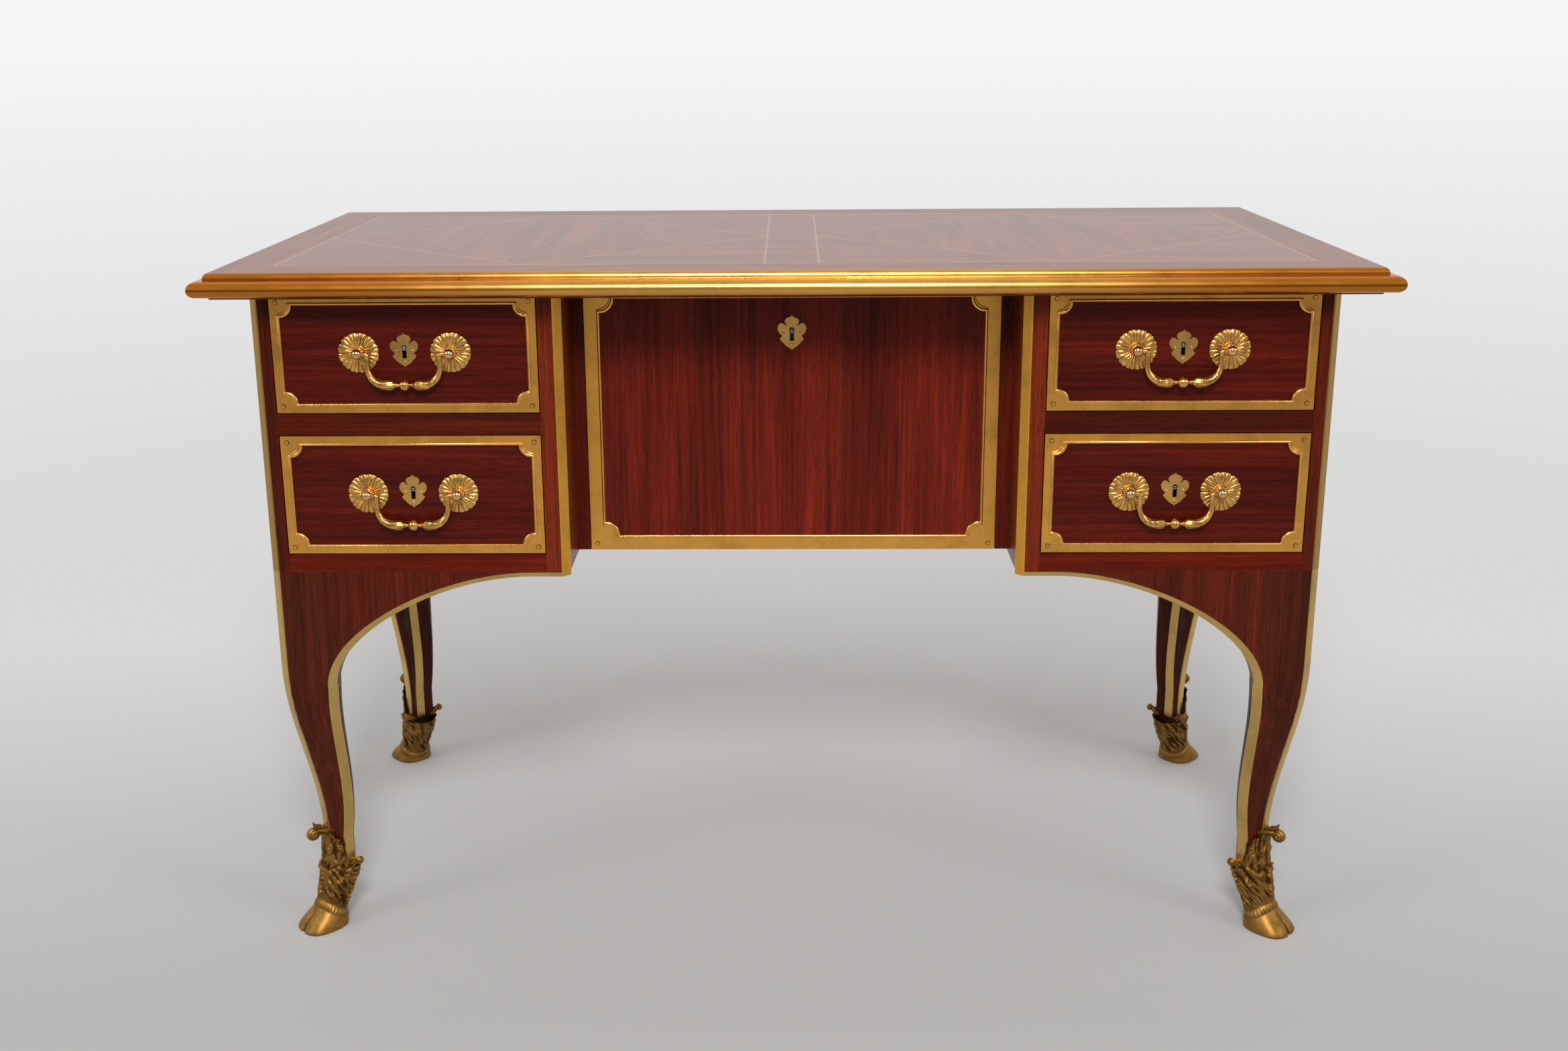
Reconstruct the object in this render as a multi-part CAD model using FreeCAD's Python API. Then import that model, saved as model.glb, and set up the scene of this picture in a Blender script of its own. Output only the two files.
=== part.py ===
import FreeCAD, Part
import math
import os

# A money changer's desk: two drawer pedestals and a recessed fall-front on four cabriole legs.
# Millimetres. +X is to the sitter's right, +Y to the back, +Z up.
# The origin is on the floor under the middle.

V = FreeCAD.Vector
X_AXIS, Y_AXIS, Z_AXIS = V(1, 0, 0), V(0, 1, 0), V(0, 0, 1)
ROOT2 = math.sqrt(2.0)
os.makedirs("parts", exist_ok=True)

# Case
case_width = 1135.0
case_depth = 508.0
case_bottom = 439.0
desk_height = 770.0
post_size = 20.5
back_thickness = 18.0
cheek_thickness = 25.0
opening_width = 281.0
floor_thickness = 20.0
lower_share = 0.51
divider_thickness = 23.0

# Top board and its brass edge moulding
top_thickness = 27.0
end_overhang = 29.0
front_overhang = 33.0
moulding_height = 24.0
moulding_reach = 17.0
ovolo_reach = 3.5
ovolo_height = 6.5
ovolo_bulge = 1.3
fillet_reach = 3.0
fillet_height = 1.0
nose_drop = 15.0
lip_reach = 7.5
moulding_joint_x = 55.0

# Cabriole legs, sawn to the same curve on the front and on the side
ankle_inset = 24.5
ankle_width = 33.0
ankle_z = 110.0
knee_z = 330.0
knee_low = 304.0
knee_reach = 61.0
side_share = 0.36
inner_share = 0.68
leg_stations = 10
knee_stations = 4

# Brass strips on the arrises
strip_chamfer = 7.4
inner_chamfer = 9.0
strip_thickness = 1.2
glue_gap = 0.05

# Curved apron brackets between the legs
apron_thickness = 20.0
apron_margin = 1.0
front_run_share = 0.866
side_run_share = 0.912
curve_rise = 62.0
curve_flat_share = 0.45
edging_width = 4.5
edging_depth = 6.0

# Gilt hoof sabots; the toe points out along the diagonal
leg_seat = 70.0
socket_clearance = 0.2
sabot_high = 126.0
sabot_low = 80.0
collar_radius = 23.5
toe_scroll_radius = 7.0
toe_scroll_out = 36.0
toe_scroll_drop = 8.0
side_scroll_radius = 4.5
side_scroll_out = 26.5
side_scroll_rise = 4.0
scroll_neck_share = 0.6
# Each row is height, centre out from the ankle, half length, half width
hoof_sections = (
    (0.0, 29.5, 30.5, 24.5),
    (10.0, 27.0, 27.0, 22.5),
    (20.0, 21.5, 21.5, 19.5),
    (28.0, 17.0, 19.5, 18.0),
    (36.0, 13.5, 21.0, 20.0),
    (52.0, 8.0, 22.0, 21.5),
    (72.0, 2.5, 24.5, 24.0),
    (96.0, 0.5, 23.5, 23.5),
)

# Drawers
drawer_gap = 0.8
runner_gap = 0.3
front_thickness = 20.0
drawer_side = 12.0
drawer_bottom = 8.0
bottom_rise = 5.0
side_drop = 14.0
drawer_stop_gap = 0.5

# Brass frames on the drawers and the fall-front
frame_thickness = 1.5
frame_band = 10.5
frame_ear = 13.0
bead_width = 2.4
bead_height = 1.2
bead_round_share = 0.4
frame_margin = 0.4
screw_inset = 7.0
screw_head_radius = 2.1
screw_head_height = 0.8
screw_shank_radius = 1.1
screw_length = 9.0
screw_clearance = 0.1

# Bail handles on rosettes
boss_line = 2.0
handle_centres = 97.0
rosette_radius = 22.0
rosette_thickness = 3.5
rosette_edge_share = 0.5
rosette_ridge_share = 0.9
rosette_dish_share = 0.6
rosette_dish_height_share = 0.7
boss_radius = 6.5
boss_height = 12.0
dome_share = 1.25
bail_height = 6.5
shank_radius = 2.5
shank_clearance = 0.1
nut_radius = 6.0
nut_height = 4.0
shank_past_nut = 2.0
bail_radius = 2.5
pin_clearance = 0.05
pin_engagement = 5.0
arm_inset = 10.5
arm_bend = 3.5
bail_drop = 33.0
corner_bend = 18.5
bud_start = 18.5
bud_end = 8.0
bud_radius = 4.2
ball_radius = 5.4

# Escutcheons, keyholes and locks
escutcheon_rise = 3.0
escutcheon_height = 36.0
fall_escutcheon_height = 39.0
escutcheon_thickness = 1.6
# Each row is across, up and radius, as shares of the plate's height
escutcheon_lobes = (
    (0.0, 0.333, 0.167), (0.195, 0.056, 0.195), (-0.195, 0.056, 0.195),
    (0.125, -0.18, 0.18), (-0.125, -0.18, 0.18), (0.0, -0.403, 0.097),
)
keyhole_radius = 3.2
keyhole_slot = 4.4
keyhole_drop = 10.5
lock_width = 60.0
lock_depth = 10.0
lock_tail = 16.0
drill_pin_radius = 1.4
drill_pin_setback = 2.0
bolt_width = 16.0
bolt_thickness = 4.0
bolt_length = 30.0
bolt_travel = 8.0
bolt_clearance = 0.3
mortise_clearance = 0.5

# Recessed fall-front that turns on pivot pins at its foot
recess_depth = 80.0
jamb_width = 13.5
fall_thickness = 22.0
fall_side_gap = 0.5
fall_top_gap = 1.0
pivot_setback = 8.0
pivot_radius = 3.0
pivot_clearance = 0.05
pivot_out = 8.0
pivot_in = 14.0
bush_radius = 6.0
bush_length = 10.0
fall_joint_gap = 0.5
stop_depth = 12.0
stop_width = 20.0
fall_frame_band = 17.0
fall_frame_ear = 16.0
fall_key_drop = 55.0

# How far a cut runs past the face it opens
over = 1.0

# Derived places
half_w = case_width / 2
half_d = case_depth / 2
top_under = desk_height - top_thickness
board_half_w = half_w + end_overhang
board_half_d = half_d + front_overhang
case_height = top_under - case_bottom
front_y = -half_d
back_inner_y = half_d - back_thickness
opening_outer_x = half_w - post_size
opening_inner_x = opening_outer_x - opening_width
cheek_inner_x = opening_inner_x - cheek_thickness
drawer_space = case_height - floor_thickness - divider_thickness
divider_low = case_bottom + floor_thickness + drawer_space * lower_share
divider_high = divider_low + divider_thickness
strip_seat = strip_chamfer + strip_thickness * ROOT2
lip_z = case_bottom - edging_width - apron_margin
front_span = half_w - cheek_inner_x - strip_seat
front_run = (front_span - knee_reach) * front_run_share
side_run = (half_d - knee_reach) * side_run_share
drawer_face_y = front_y + frame_thickness
drawer_inside_y = drawer_face_y + front_thickness
drawer_mid_x = (opening_inner_x + opening_outer_x) / 2
fall_y = front_y + recess_depth
fall_back_y = fall_y + fall_thickness
fall_half = cheek_inner_x - jamb_width - fall_side_gap
fall_top = top_under - fall_top_gap
pivot_rise = fall_thickness - pivot_setback
pivot_y = fall_y + pivot_setback
pivot_z = case_bottom + pivot_rise
fall_floor_top = pivot_z + pivot_rise
fall_floor_y = fall_back_y + fall_joint_gap

LEVELS = {
    "lower": (case_bottom + floor_thickness, divider_low),
    "upper": (divider_high, top_under),
}


def box(x0, x1, y0, y1, z0, z1):
    """A block between two opposite corners."""
    return Part.makeBox(x1 - x0, y1 - y0, z1 - z0, V(x0, y0, z0))


def prism(points, direction):
    """A polygon pushed along a direction."""
    return Part.Face(Part.makePolygon(points + points[:1])).extrude(direction)


def across(shape):
    """The same piece on the other side of the desk."""
    return shape.mirror(V(0, 0, 0), X_AXIS)


def to_front(shape):
    """The same piece moved from the back to the front."""
    return shape.mirror(V(0, 0, 0), Y_AXIS)


def save(node, *solids):
    """Writes one node, as one solid or a group of separate solids."""
    shape = solids[0] if len(solids) == 1 else Part.makeCompound(list(solids))
    shape.exportStep("parts/" + node + ".step")


def corner_point(a, b, z):
    """A point a and b inwards from the right back corner of the case."""
    return V(half_w - a, half_d - b, z)


# Legs
def leg_inset(z):
    """How far the outer arris has drawn in from the case corner."""
    t = min(max((knee_z - z) / (knee_z - ankle_z), 0.0), 1.0)
    return ankle_inset * (1 - math.cos(math.pi * t)) / 2


def leg_reach(z):
    """How far the inner faces stand from the case corner."""
    t = min(max((z - ankle_z) / (knee_low - ankle_z), 0.0), 1.0)
    knee_width = knee_reach - leg_inset(knee_low)
    return leg_inset(z) + ankle_width + (knee_width - ankle_width) * t


def both_sides(half, z):
    """A section from the points on one side of the leg's diagonal."""
    return [corner_point(a, b, z) for a, b in half + [(b, a) for a, b in reversed(half)]]


def inner_arris(low, high):
    """Where the inner faces end beside the side arris, and where they would meet."""
    return low + (high - low) * side_share, low + (high - low) * inner_share


def shaft_section(z):
    """The shaft's section: square outside, drawn in to a narrow inner arris, with seats for its strips."""
    low, high = leg_inset(z), leg_reach(z)
    flat, inner = inner_arris(low, high)
    foot = inner - inner_chamfer
    seat = (strip_thickness + glue_gap) / ROOT2
    return both_sides([
        (low + strip_seat, low), (high - strip_seat, low), (high, low + strip_seat), (high, flat),
        (inner, foot), (inner - seat, foot - seat),
    ], z)


def block_section(z):
    """The knee block's section, with a seat for the outer strip only."""
    low, high = leg_inset(z), knee_reach
    flat, inner = inner_arris(low, high)
    return both_sides([
        (low + strip_seat, low), (high, low), (high, flat), (inner, inner - inner_chamfer),
    ], z)


def inner_strip_section(z):
    """The section of the strip on the leg's inner arris."""
    inner = inner_arris(leg_inset(z), leg_reach(z))[1] - glue_gap
    foot = inner - inner_chamfer + 2 * glue_gap
    depth = strip_thickness / ROOT2
    return both_sides([(inner, foot), (inner - depth, foot - depth)], z)


def strip_section(a, b, da, db, z):
    """A strip's section on an arris at a, b, with the leg lying towards da, db."""
    seat = strip_seat - glue_gap * ROOT2
    pairs = (
        (a + da * seat, b), (a + da * strip_chamfer, b),
        (a, b + db * strip_chamfer), (a, b + db * seat),
    )
    return [corner_point(p, q, z) for p, q in pairs]


def loft(sections, ruled):
    """A solid through a row of polygons."""
    return Part.makeLoft([Part.makePolygon(s + s[:1]) for s in sections], True, ruled)


def steps(low, high, count):
    """Evenly spaced heights."""
    return [low + (high - low) * i / (count - 1) for i in range(count)]


def column(section):
    """A straight ankle under a shaft that widens to the knee, from its section at each height."""
    ankle = prism(section(leg_seat), V(0, 0, ankle_z - leg_seat))
    shaft = loft([section(z) for z in steps(ankle_z, knee_low, leg_stations)], False)
    return ankle.fuse(shaft)


def knee_heights():
    """Where the knee's section is taken, up to the case."""
    return steps(knee_low, knee_z, knee_stations) + [case_bottom]


def leg():
    """The right back leg: a tapering shaft under a plain knee block that the apron edging is let into."""
    shaft = column(shaft_section)
    block = loft([block_section(z) for z in knee_heights()], True)
    block = block.cut(edging(front_run, half_w, "back")).cut(edging(side_run, half_d, "right"))
    return shaft.fuse(block)


def leg_strips():
    """The four brass strips of the right back leg."""
    return [
        column(lambda z: strip_section(leg_inset(z), leg_inset(z), 1, 1, z)),
        loft([strip_section(leg_inset(z), leg_inset(z), 1, 1, z) for z in knee_heights()], True),
        column(lambda z: strip_section(leg_reach(z), leg_inset(z), -1, 1, z)),
        column(lambda z: strip_section(leg_inset(z), leg_reach(z), 1, -1, z)),
        column(inner_strip_section),
    ]


def sabot():
    """The right back sabot: a hoof under a leafy collar that holds the leg."""
    wires = []
    collar = (sabot_high, 0.0, collar_radius, collar_radius)
    for z, out, half_length, half_width in hoof_sections + (collar,):
        ellipse = Part.Ellipse(V(out, 0, z), half_length, half_width)
        wires.append(Part.Wire([ellipse.toShape()]))
    body = Part.makeLoft(wires, True, False)
    reach = 2 * collar_radius
    fall = (sabot_high - sabot_low) / (2 * collar_radius)
    above = [
        V(-reach, -reach, sabot_low + fall * (collar_radius - reach)),
        V(collar_radius, -reach, sabot_high),
        V(reach, -reach, sabot_high),
        V(reach, -reach, sabot_high + reach),
        V(-reach, -reach, sabot_high + reach),
    ]
    body = body.cut(prism(above, V(0, 2 * reach, 0)))
    toe_z = sabot_high - toe_scroll_drop
    neck = toe_scroll_radius * scroll_neck_share
    neck_end = toe_scroll_out - math.sqrt(toe_scroll_radius ** 2 - neck ** 2)
    ball_edge = Part.Arc(
        V(neck_end, 0, toe_z + neck), V(toe_scroll_out, 0, toe_z + toe_scroll_radius),
        V(toe_scroll_out + toe_scroll_radius, 0, toe_z)).toShape()
    neck_edges = lines_3d([
        V(toe_scroll_out + toe_scroll_radius, 0, toe_z), V(0, 0, toe_z), V(0, 0, toe_z + neck),
        V(neck_end, 0, toe_z + neck)])
    toe_scroll = Part.Face(Part.Wire([ball_edge] + neck_edges)).revolve(V(0, 0, toe_z), X_AXIS, 360)
    body = body.fuse(toe_scroll)
    for side in (-1, 1):
        middle = V(0, side * side_scroll_out, sabot_low + side_scroll_rise)
        body = body.fuse(Part.makeSphere(side_scroll_radius, middle))
    body.rotate(V(0, 0, 0), Z_AXIS, 45)
    middle = ankle_inset + ankle_width / 2
    body.translate(corner_point(middle, middle, 0))
    low = leg_inset(sabot_high) - socket_clearance
    high = leg_reach(sabot_high) + socket_clearance
    plan = both_sides([
        (low + strip_chamfer, low), (high - strip_chamfer, low), (high, low + strip_chamfer),
        (high, (low + high) / 2),
    ], leg_seat)
    return body.cut(prism(plan, V(0, 0, sabot_high - leg_seat + over)))


# Aprons
def face_point(along, depth, z, face):
    """A point on the back or the right face, measured from the right back corner."""
    return corner_point(along, depth, z) if face == "back" else corner_point(depth, along, z)


def apron_curve(run, face, at_knee, at_end):
    """The bracket's lower edge, or a line above it that starts and ends that far inside the wood."""
    x, low, end = knee_reach - at_knee, lip_z + at_end, knee_reach + run
    turn = end - run * curve_flat_share
    poles = ((x, knee_low), (x, knee_low + curve_rise + at_end), (turn, low), (end, low))
    curve = Part.BezierCurve()
    curve.setPoles([face_point(a, 0, z, face) for a, z in poles])
    return curve.toShape()


def push(edges, depth, face):
    """A flat outline on a face pushed into the case."""
    direction = V(0, -depth, 0) if face == "back" else V(-depth, 0, 0)
    return Part.Face(Part.Wire(Part.__sortEdges__(edges))).extrude(direction)


def lines(points, face):
    """Straight edges along a row of face points."""
    ends = [face_point(a, 0, z, face) for a, z in points]
    return [Part.makeLine(p, q) for p, q in zip(ends[:-1], ends[1:])]


def bracket(run, span, face):
    """One apron bracket, from the knee to span along its face, with a rebate for its edging."""
    rest = lines(
        [(knee_reach + run, lip_z), (span, lip_z), (span, case_bottom),
         (knee_reach, case_bottom), (knee_reach, knee_low)], face)
    whole = push([apron_curve(run, face, 0, 0)] + rest, apron_thickness, face)
    return whole.cut(edging(run, span, face))


def edging(run, span, face):
    """The brass edging of one apron bracket, as wide at the knee as the leg's strip."""
    end, high = knee_reach + run, lip_z + edging_width
    rest = lines([(end, lip_z), (span, lip_z), (span, high), (end, high)], face)
    tip = lines([(knee_reach, knee_low), (knee_reach - strip_seat, knee_low)], face)
    edges = [apron_curve(run, face, 0, 0), apron_curve(run, face, strip_seat, edging_width)]
    return push(edges + rest + tip, edging_depth, face)


# Brass edge moulding
def moulding(half_length, edge):
    """One mitred length in front of an edge that lies at y = -edge."""
    low = desk_height - moulding_height
    ovolo_z = desk_height - ovolo_height
    step_x = ovolo_reach + fillet_reach
    step_z = ovolo_z - fillet_height

    def at(out, z):
        return V(0, -edge - out, z)

    slope = ovolo_bulge / math.hypot(ovolo_reach, ovolo_height)
    middle_out = ovolo_reach / 2 + ovolo_height * slope
    ovolo_middle = at(middle_out, desk_height - ovolo_height / 2 + ovolo_reach * slope)
    nose = at(moulding_reach, desk_height - nose_drop)
    outline = [
        Part.makeLine(at(0, low), at(0, desk_height)),
        Part.Arc(at(0, desk_height), ovolo_middle, at(ovolo_reach, ovolo_z)).toShape(),
        Part.makeLine(at(ovolo_reach, ovolo_z), at(ovolo_reach, step_z)),
        Part.makeLine(at(ovolo_reach, step_z), at(step_x, step_z)),
        Part.Arc(at(step_x, step_z), nose, at(lip_reach, low)).toShape(),
        Part.makeLine(at(lip_reach, low), at(0, low)),
    ]
    full = half_length + moulding_reach
    bar = Part.Face(Part.Wire(outline)).extrude(V(2 * full, 0, 0))
    bar.translate(V(-full, 0, 0))
    plan = [
        V(-half_length, -edge, 0), V(half_length, -edge, 0),
        V(full, -edge - moulding_reach, 0), V(-full, -edge - moulding_reach, 0),
    ]
    return bar.common(prism(plan, V(0, 0, 2 * desk_height)))


def turned(shape, angle):
    """A copy turned about the desk's upright axis."""
    copy = shape.copy()
    copy.rotate(V(0, 0, 0), Z_AXIS, angle)
    return copy


def top_mouldings():
    """The four sides of the edge moulding; the front is two lengths that butt."""
    front = moulding(board_half_w, board_half_d)
    far = board_half_w + 2 * moulding_reach
    deep = board_half_d + 2 * moulding_reach
    left_cut = box(-far, moulding_joint_x, -deep, 0, 0, desk_height + over)
    side = moulding(board_half_d, board_half_w)
    ends = [turned(side, 90), turned(side, -90)]
    return [front.common(left_cut), front.cut(left_cut), turned(front, 180)] + ends


# Brass frames
def frame_opening(x0, x1, z0, z1, band, ear, y):
    """The inside of a frame: a rectangle whose corners are bitten by quarter rounds."""
    ax, bx, az, bz = x0 + band, x1 - band, z0 + band, z1 - band
    k = ear / ROOT2
    pieces = []
    corners = ((ax, az, 1, 1), (bx, az, -1, 1), (bx, bz, -1, -1), (ax, bz, 1, -1))
    for i, (x, z, dx, dz) in enumerate(corners):
        along_x, along_z = V(x + dx * ear, y, z), V(x, y, z + dz * ear)
        start, end = (along_z, along_x) if i % 2 == 0 else (along_x, along_z)
        pieces.append((start, V(x + dx * k, y, z + dz * k), end))
    edges = []
    for here, after in zip(pieces, pieces[1:] + pieces[:1]):
        edges.append(Part.Arc(*here).toShape())
        edges.append(Part.makeLine(here[2], after[0]))
    return Part.Face(Part.Wire(edges))


def brass_frame(x0, x1, z0, z1, band, ear, y):
    """A frame standing forward of y, with a raised bead round its opening."""
    def layer(outer, height):
        hole = frame_opening(x0, x1, z0, z1, band, ear, y)
        return outer.cut(hole).extrude(V(0, -height, 0))

    rim = [V(x0, y, z0), V(x1, y, z0), V(x1, y, z1), V(x0, y, z1)]
    sheet = Part.Face(Part.makePolygon(rim + rim[:1]))
    bead_outer = frame_opening(x0, x1, z0, z1, band - bead_width, ear - bead_width, y)
    bead = layer(bead_outer, frame_thickness + bead_height)
    bead_top = y - frame_thickness - bead_height
    top_edges = [edge for edge in bead.Edges if edge.BoundBox.YMax < bead_top + bead_height / 2]
    bead = bead.makeFillet(bead_width * bead_round_share, top_edges)
    frame = layer(sheet, frame_thickness).fuse(bead).removeSplitter()
    hole_radius = screw_shank_radius + screw_clearance
    for x, z in screw_places(x0, x1, z0, z1):
        frame = frame.cut(bore(x, z, hole_radius, y + over, y - frame_thickness - over))
    return frame


def screw_places(x0, x1, z0, z1):
    """Where the four frame screws go."""
    heights = (z0 + screw_inset, z1 - screw_inset)
    return [(x, z) for x in (x0 + screw_inset, x1 - screw_inset) for z in heights]


def bore(x, z, radius, y_back, y_front):
    """A round hole or pin along Y."""
    return Part.makeCylinder(radius, y_back - y_front, V(x, y_front, z), Y_AXIS)


def frame_screws(x0, x1, z0, z1, y):
    """Round-headed screws through a frame that stands forward of y."""
    seat = y - frame_thickness
    solids = []
    for x, z in screw_places(x0, x1, z0, z1):
        head = bore(x, z, screw_head_radius, seat, seat - screw_head_height)
        shank = bore(x, z, screw_shank_radius, seat + screw_length, seat)
        solids.append(head.fuse(shank))
    return solids


# Escutcheons and locks
def keyhole(x, z, y_back, y_front):
    """A round keyhole with a slot below it."""
    slot = box(x - keyhole_slot / 2, x + keyhole_slot / 2, y_front, y_back, z - keyhole_drop, z)
    return bore(x, z, keyhole_radius, y_back, y_front).fuse(slot)


def escutcheon(x, z, height, y):
    """A lobed keyhole plate standing forward of y."""
    face = y - escutcheon_thickness
    discs = [bore(x + dx * height, z + dz * height, r * height, y, face) for dx, dz, r in escutcheon_lobes]
    plate = discs[0].fuse(discs[1:]).removeSplitter()
    return plate.cut(keyhole(x, z, y + over, face - over))


def lock_case(x, key_z, top_z, y):
    """A lock behind a front whose back face is at y, with its drill pin in the keyhole."""
    case = box(x - lock_width / 2, x + lock_width / 2, y, y + lock_depth, key_z - lock_tail, top_z)
    reach_x = bolt_width / 2 + bolt_clearance
    reach_y = bolt_thickness / 2 + bolt_clearance
    middle = y + lock_depth / 2
    slot = box(x - reach_x, x + reach_x, middle - reach_y, middle + reach_y,
               top_z - bolt_length - bolt_clearance, top_z + over)
    pin = bore(x, key_z, drill_pin_radius, y, y - front_thickness + drill_pin_setback)
    return case.cut(slot).fuse(pin)


def lock_bolt(x, top_z, y):
    """The bolt of that lock, withdrawn."""
    middle = y + lock_depth / 2
    half = bolt_thickness / 2
    x0, x1 = x - bolt_width / 2, x + bolt_width / 2
    return box(x0, x1, middle - half, middle + half, top_z - bolt_length, top_z)


def mortise(x, z, top_z, y):
    """The socket above that bolt, in a board whose underside is at z."""
    middle = y + lock_depth / 2
    reach_x = bolt_width / 2 + mortise_clearance
    reach_y = bolt_thickness / 2 + mortise_clearance
    return box(x - reach_x, x + reach_x, middle - reach_y, middle + reach_y,
               z - over, top_z + bolt_travel + mortise_clearance)


# Handles
def turned_about_y(profile, x, z, y):
    """Radius and height pairs turned about an axis that points forward from x, y, z."""
    points = [V(x + r, y - h, z) for r, h in profile]
    return Part.Face(Part.makePolygon(points + points[:1])).revolve(V(x, y, z), Y_AXIS, 360)


def rosette(x, z, y):
    """A dished rosette with a hole for its post."""
    hole = shank_radius + shank_clearance
    profile = [
        (hole, 0), (rosette_radius, 0), (rosette_radius, rosette_thickness * rosette_edge_share),
        (rosette_radius * rosette_ridge_share, rosette_thickness),
        (rosette_radius * rosette_dish_share, rosette_thickness * rosette_dish_height_share),
        (boss_radius, rosette_thickness), (hole, rosette_thickness),
    ]
    return turned_about_y(profile, x, z, y)


def handle_post(x, z, y, inward):
    """A domed post on a rosette, its shank running through the front to a nut."""
    boss_low = y - rosette_thickness
    dome_radius = boss_radius * dome_share
    dome_middle = boss_low - boss_height + dome_radius
    dome_low = dome_middle - math.sqrt(dome_radius ** 2 - boss_radius ** 2)
    boss = bore(x, z, boss_radius, boss_low, dome_low)
    dome = Part.makeSphere(dome_radius, V(x, dome_middle, z))
    rim = bore(x, z, boss_radius, dome_low, boss_low - boss_height - over)
    shank = bore(x, z, shank_radius, y + front_thickness + nut_height + shank_past_nut, boss_low)
    post = boss.fuse(dome.common(rim)).removeSplitter().fuse(shank)
    hole_radius = bail_radius + pin_clearance
    eye = Part.makeCylinder(hole_radius, 2 * boss_radius, V(x, boss_low - bail_height, z), V(inward, 0, 0))
    return post.cut(eye)


def handle_nut(x, z, y):
    """The nut on a handle post, inside the drawer."""
    seat = y + front_thickness
    ring = bore(x, z, nut_radius, seat + nut_height, seat)
    return ring.cut(bore(x, z, shank_radius + shank_clearance, seat + nut_height + over, seat - over))


def rod(start, end):
    """A straight piece of bail."""
    return Part.makeCylinder(bail_radius, (end - start).Length, start, end - start)


def bend(start, heading, centre, angle):
    """A piece of bail turned in its own plane."""
    section = Part.Face(Part.Wire([Part.makeCircle(bail_radius, start, heading)]))
    return section.revolve(centre, Y_AXIS, angle)


def bail(x, z, y):
    """A hanging bail with a ball and two buds on its grip."""
    axis_y = y - rosette_thickness - bail_height
    pin = handle_centres / 2 - boss_radius + pin_engagement
    arm = handle_centres / 2 - arm_inset
    inner = arm - corner_bend
    arm_low = bail_drop - corner_bend
    neck = bail_drop - bail_radius
    ball_x = math.sqrt(ball_radius ** 2 - bail_radius ** 2)
    bud_x = (bud_start + bud_end) / 2

    def at(dx, drop):
        return V(x + dx, axis_y, z - drop)

    outline = [
        Part.makeLine(at(-inner, bail_drop), at(inner, bail_drop)),
        Part.Arc(at(-ball_x, neck), at(0, bail_drop - ball_radius), at(ball_x, neck)).toShape(),
    ]
    limbs = []
    for s in (-1, 1):
        outline += lines_3d([at(s * inner, bail_drop), at(s * inner, neck), at(s * bud_start, neck)])
        swell = at(s * bud_x, bail_drop - bud_radius)
        outline.append(Part.Arc(at(s * bud_start, neck), swell, at(s * bud_end, neck)).toShape())
        outline += lines_3d([at(s * bud_end, neck), at(s * ball_x, neck)])
        elbow = at(s * (arm + arm_bend), 0)
        limbs.append(rod(at(s * pin, 0), elbow))
        limbs.append(bend(elbow, X_AXIS, at(s * (arm + arm_bend), arm_bend), -s * 90))
        limbs.append(rod(at(s * arm, arm_bend), at(s * arm, arm_low)))
        limbs.append(bend(at(s * arm, arm_low), Z_AXIS, at(s * inner, arm_low), s * 90))
    grip = Part.Face(Part.Wire(Part.__sortEdges__(outline))).revolve(at(0, bail_drop), X_AXIS, 360)
    return grip.fuse(limbs)


def lines_3d(points):
    """Straight edges along a row of points."""
    return [Part.makeLine(p, q) for p, q in zip(points[:-1], points[1:])]


# One right-hand drawer, as a dictionary of its nodes
def drawer(low, high):
    x0, x1 = opening_inner_x + drawer_gap, opening_outer_x - drawer_gap
    z0, z1 = low + drawer_gap, high - drawer_gap
    face, inside = drawer_face_y, drawer_inside_y
    boss_z = (low + high) / 2 + boss_line
    key_z = boss_z + escutcheon_rise
    posts = (drawer_mid_x - handle_centres / 2, drawer_mid_x + handle_centres / 2)
    front = box(x0, x1, face, inside, z0, z1).cut(keyhole(drawer_mid_x, key_z, inside + over, face - over))
    for x in posts:
        front = front.cut(bore(x, boss_z, shank_radius + shank_clearance, inside + over, face - over))
    frame_rect = (x0 + frame_margin, x1 - frame_margin, z0 + frame_margin, z1 - frame_margin)
    for x, z in screw_places(*frame_rect):
        front = front.cut(bore(x, z, screw_shank_radius + screw_clearance, face + screw_length, face - over))
    rear = back_inner_y - drawer_stop_gap
    side_low, side_high = low + runner_gap, z1 - side_drop
    board = [
        box(x0, x0 + drawer_side, inside, rear, side_low, side_high),
        box(x1 - drawer_side, x1, inside, rear, side_low, side_high),
        box(x0 + drawer_side, x1 - drawer_side, rear - drawer_side, rear, side_low + bottom_rise, side_high),
        box(x0 + drawer_side, x1 - drawer_side, inside, rear - drawer_side,
            side_low + bottom_rise, side_low + bottom_rise + drawer_bottom),
    ]
    mounts = [escutcheon(drawer_mid_x, key_z, escutcheon_height, face)]
    for x, inward in zip(posts, (1, -1)):
        mounts.append(rosette(x, boss_z, face))
        mounts.append(handle_post(x, boss_z, face, inward))
        mounts.append(handle_nut(x, boss_z, face))
    frame = brass_frame(*frame_rect, frame_band, frame_ear, face)
    return {
        "drawer_front": [front],
        "drawer_box": board,
        "drawer_frame": [frame] + frame_screws(*frame_rect, face),
        "drawer_mounts": mounts,
        "bail": [bail(drawer_mid_x, boss_z, face)],
        "drawer_lock": [lock_case(drawer_mid_x, key_z, z1, inside)],
        "drawer_bolt": [lock_bolt(drawer_mid_x, z1, inside)],
    }


def pair(shape):
    """A right-hand piece with its left-hand twin."""
    return [across(shape), shape]


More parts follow.
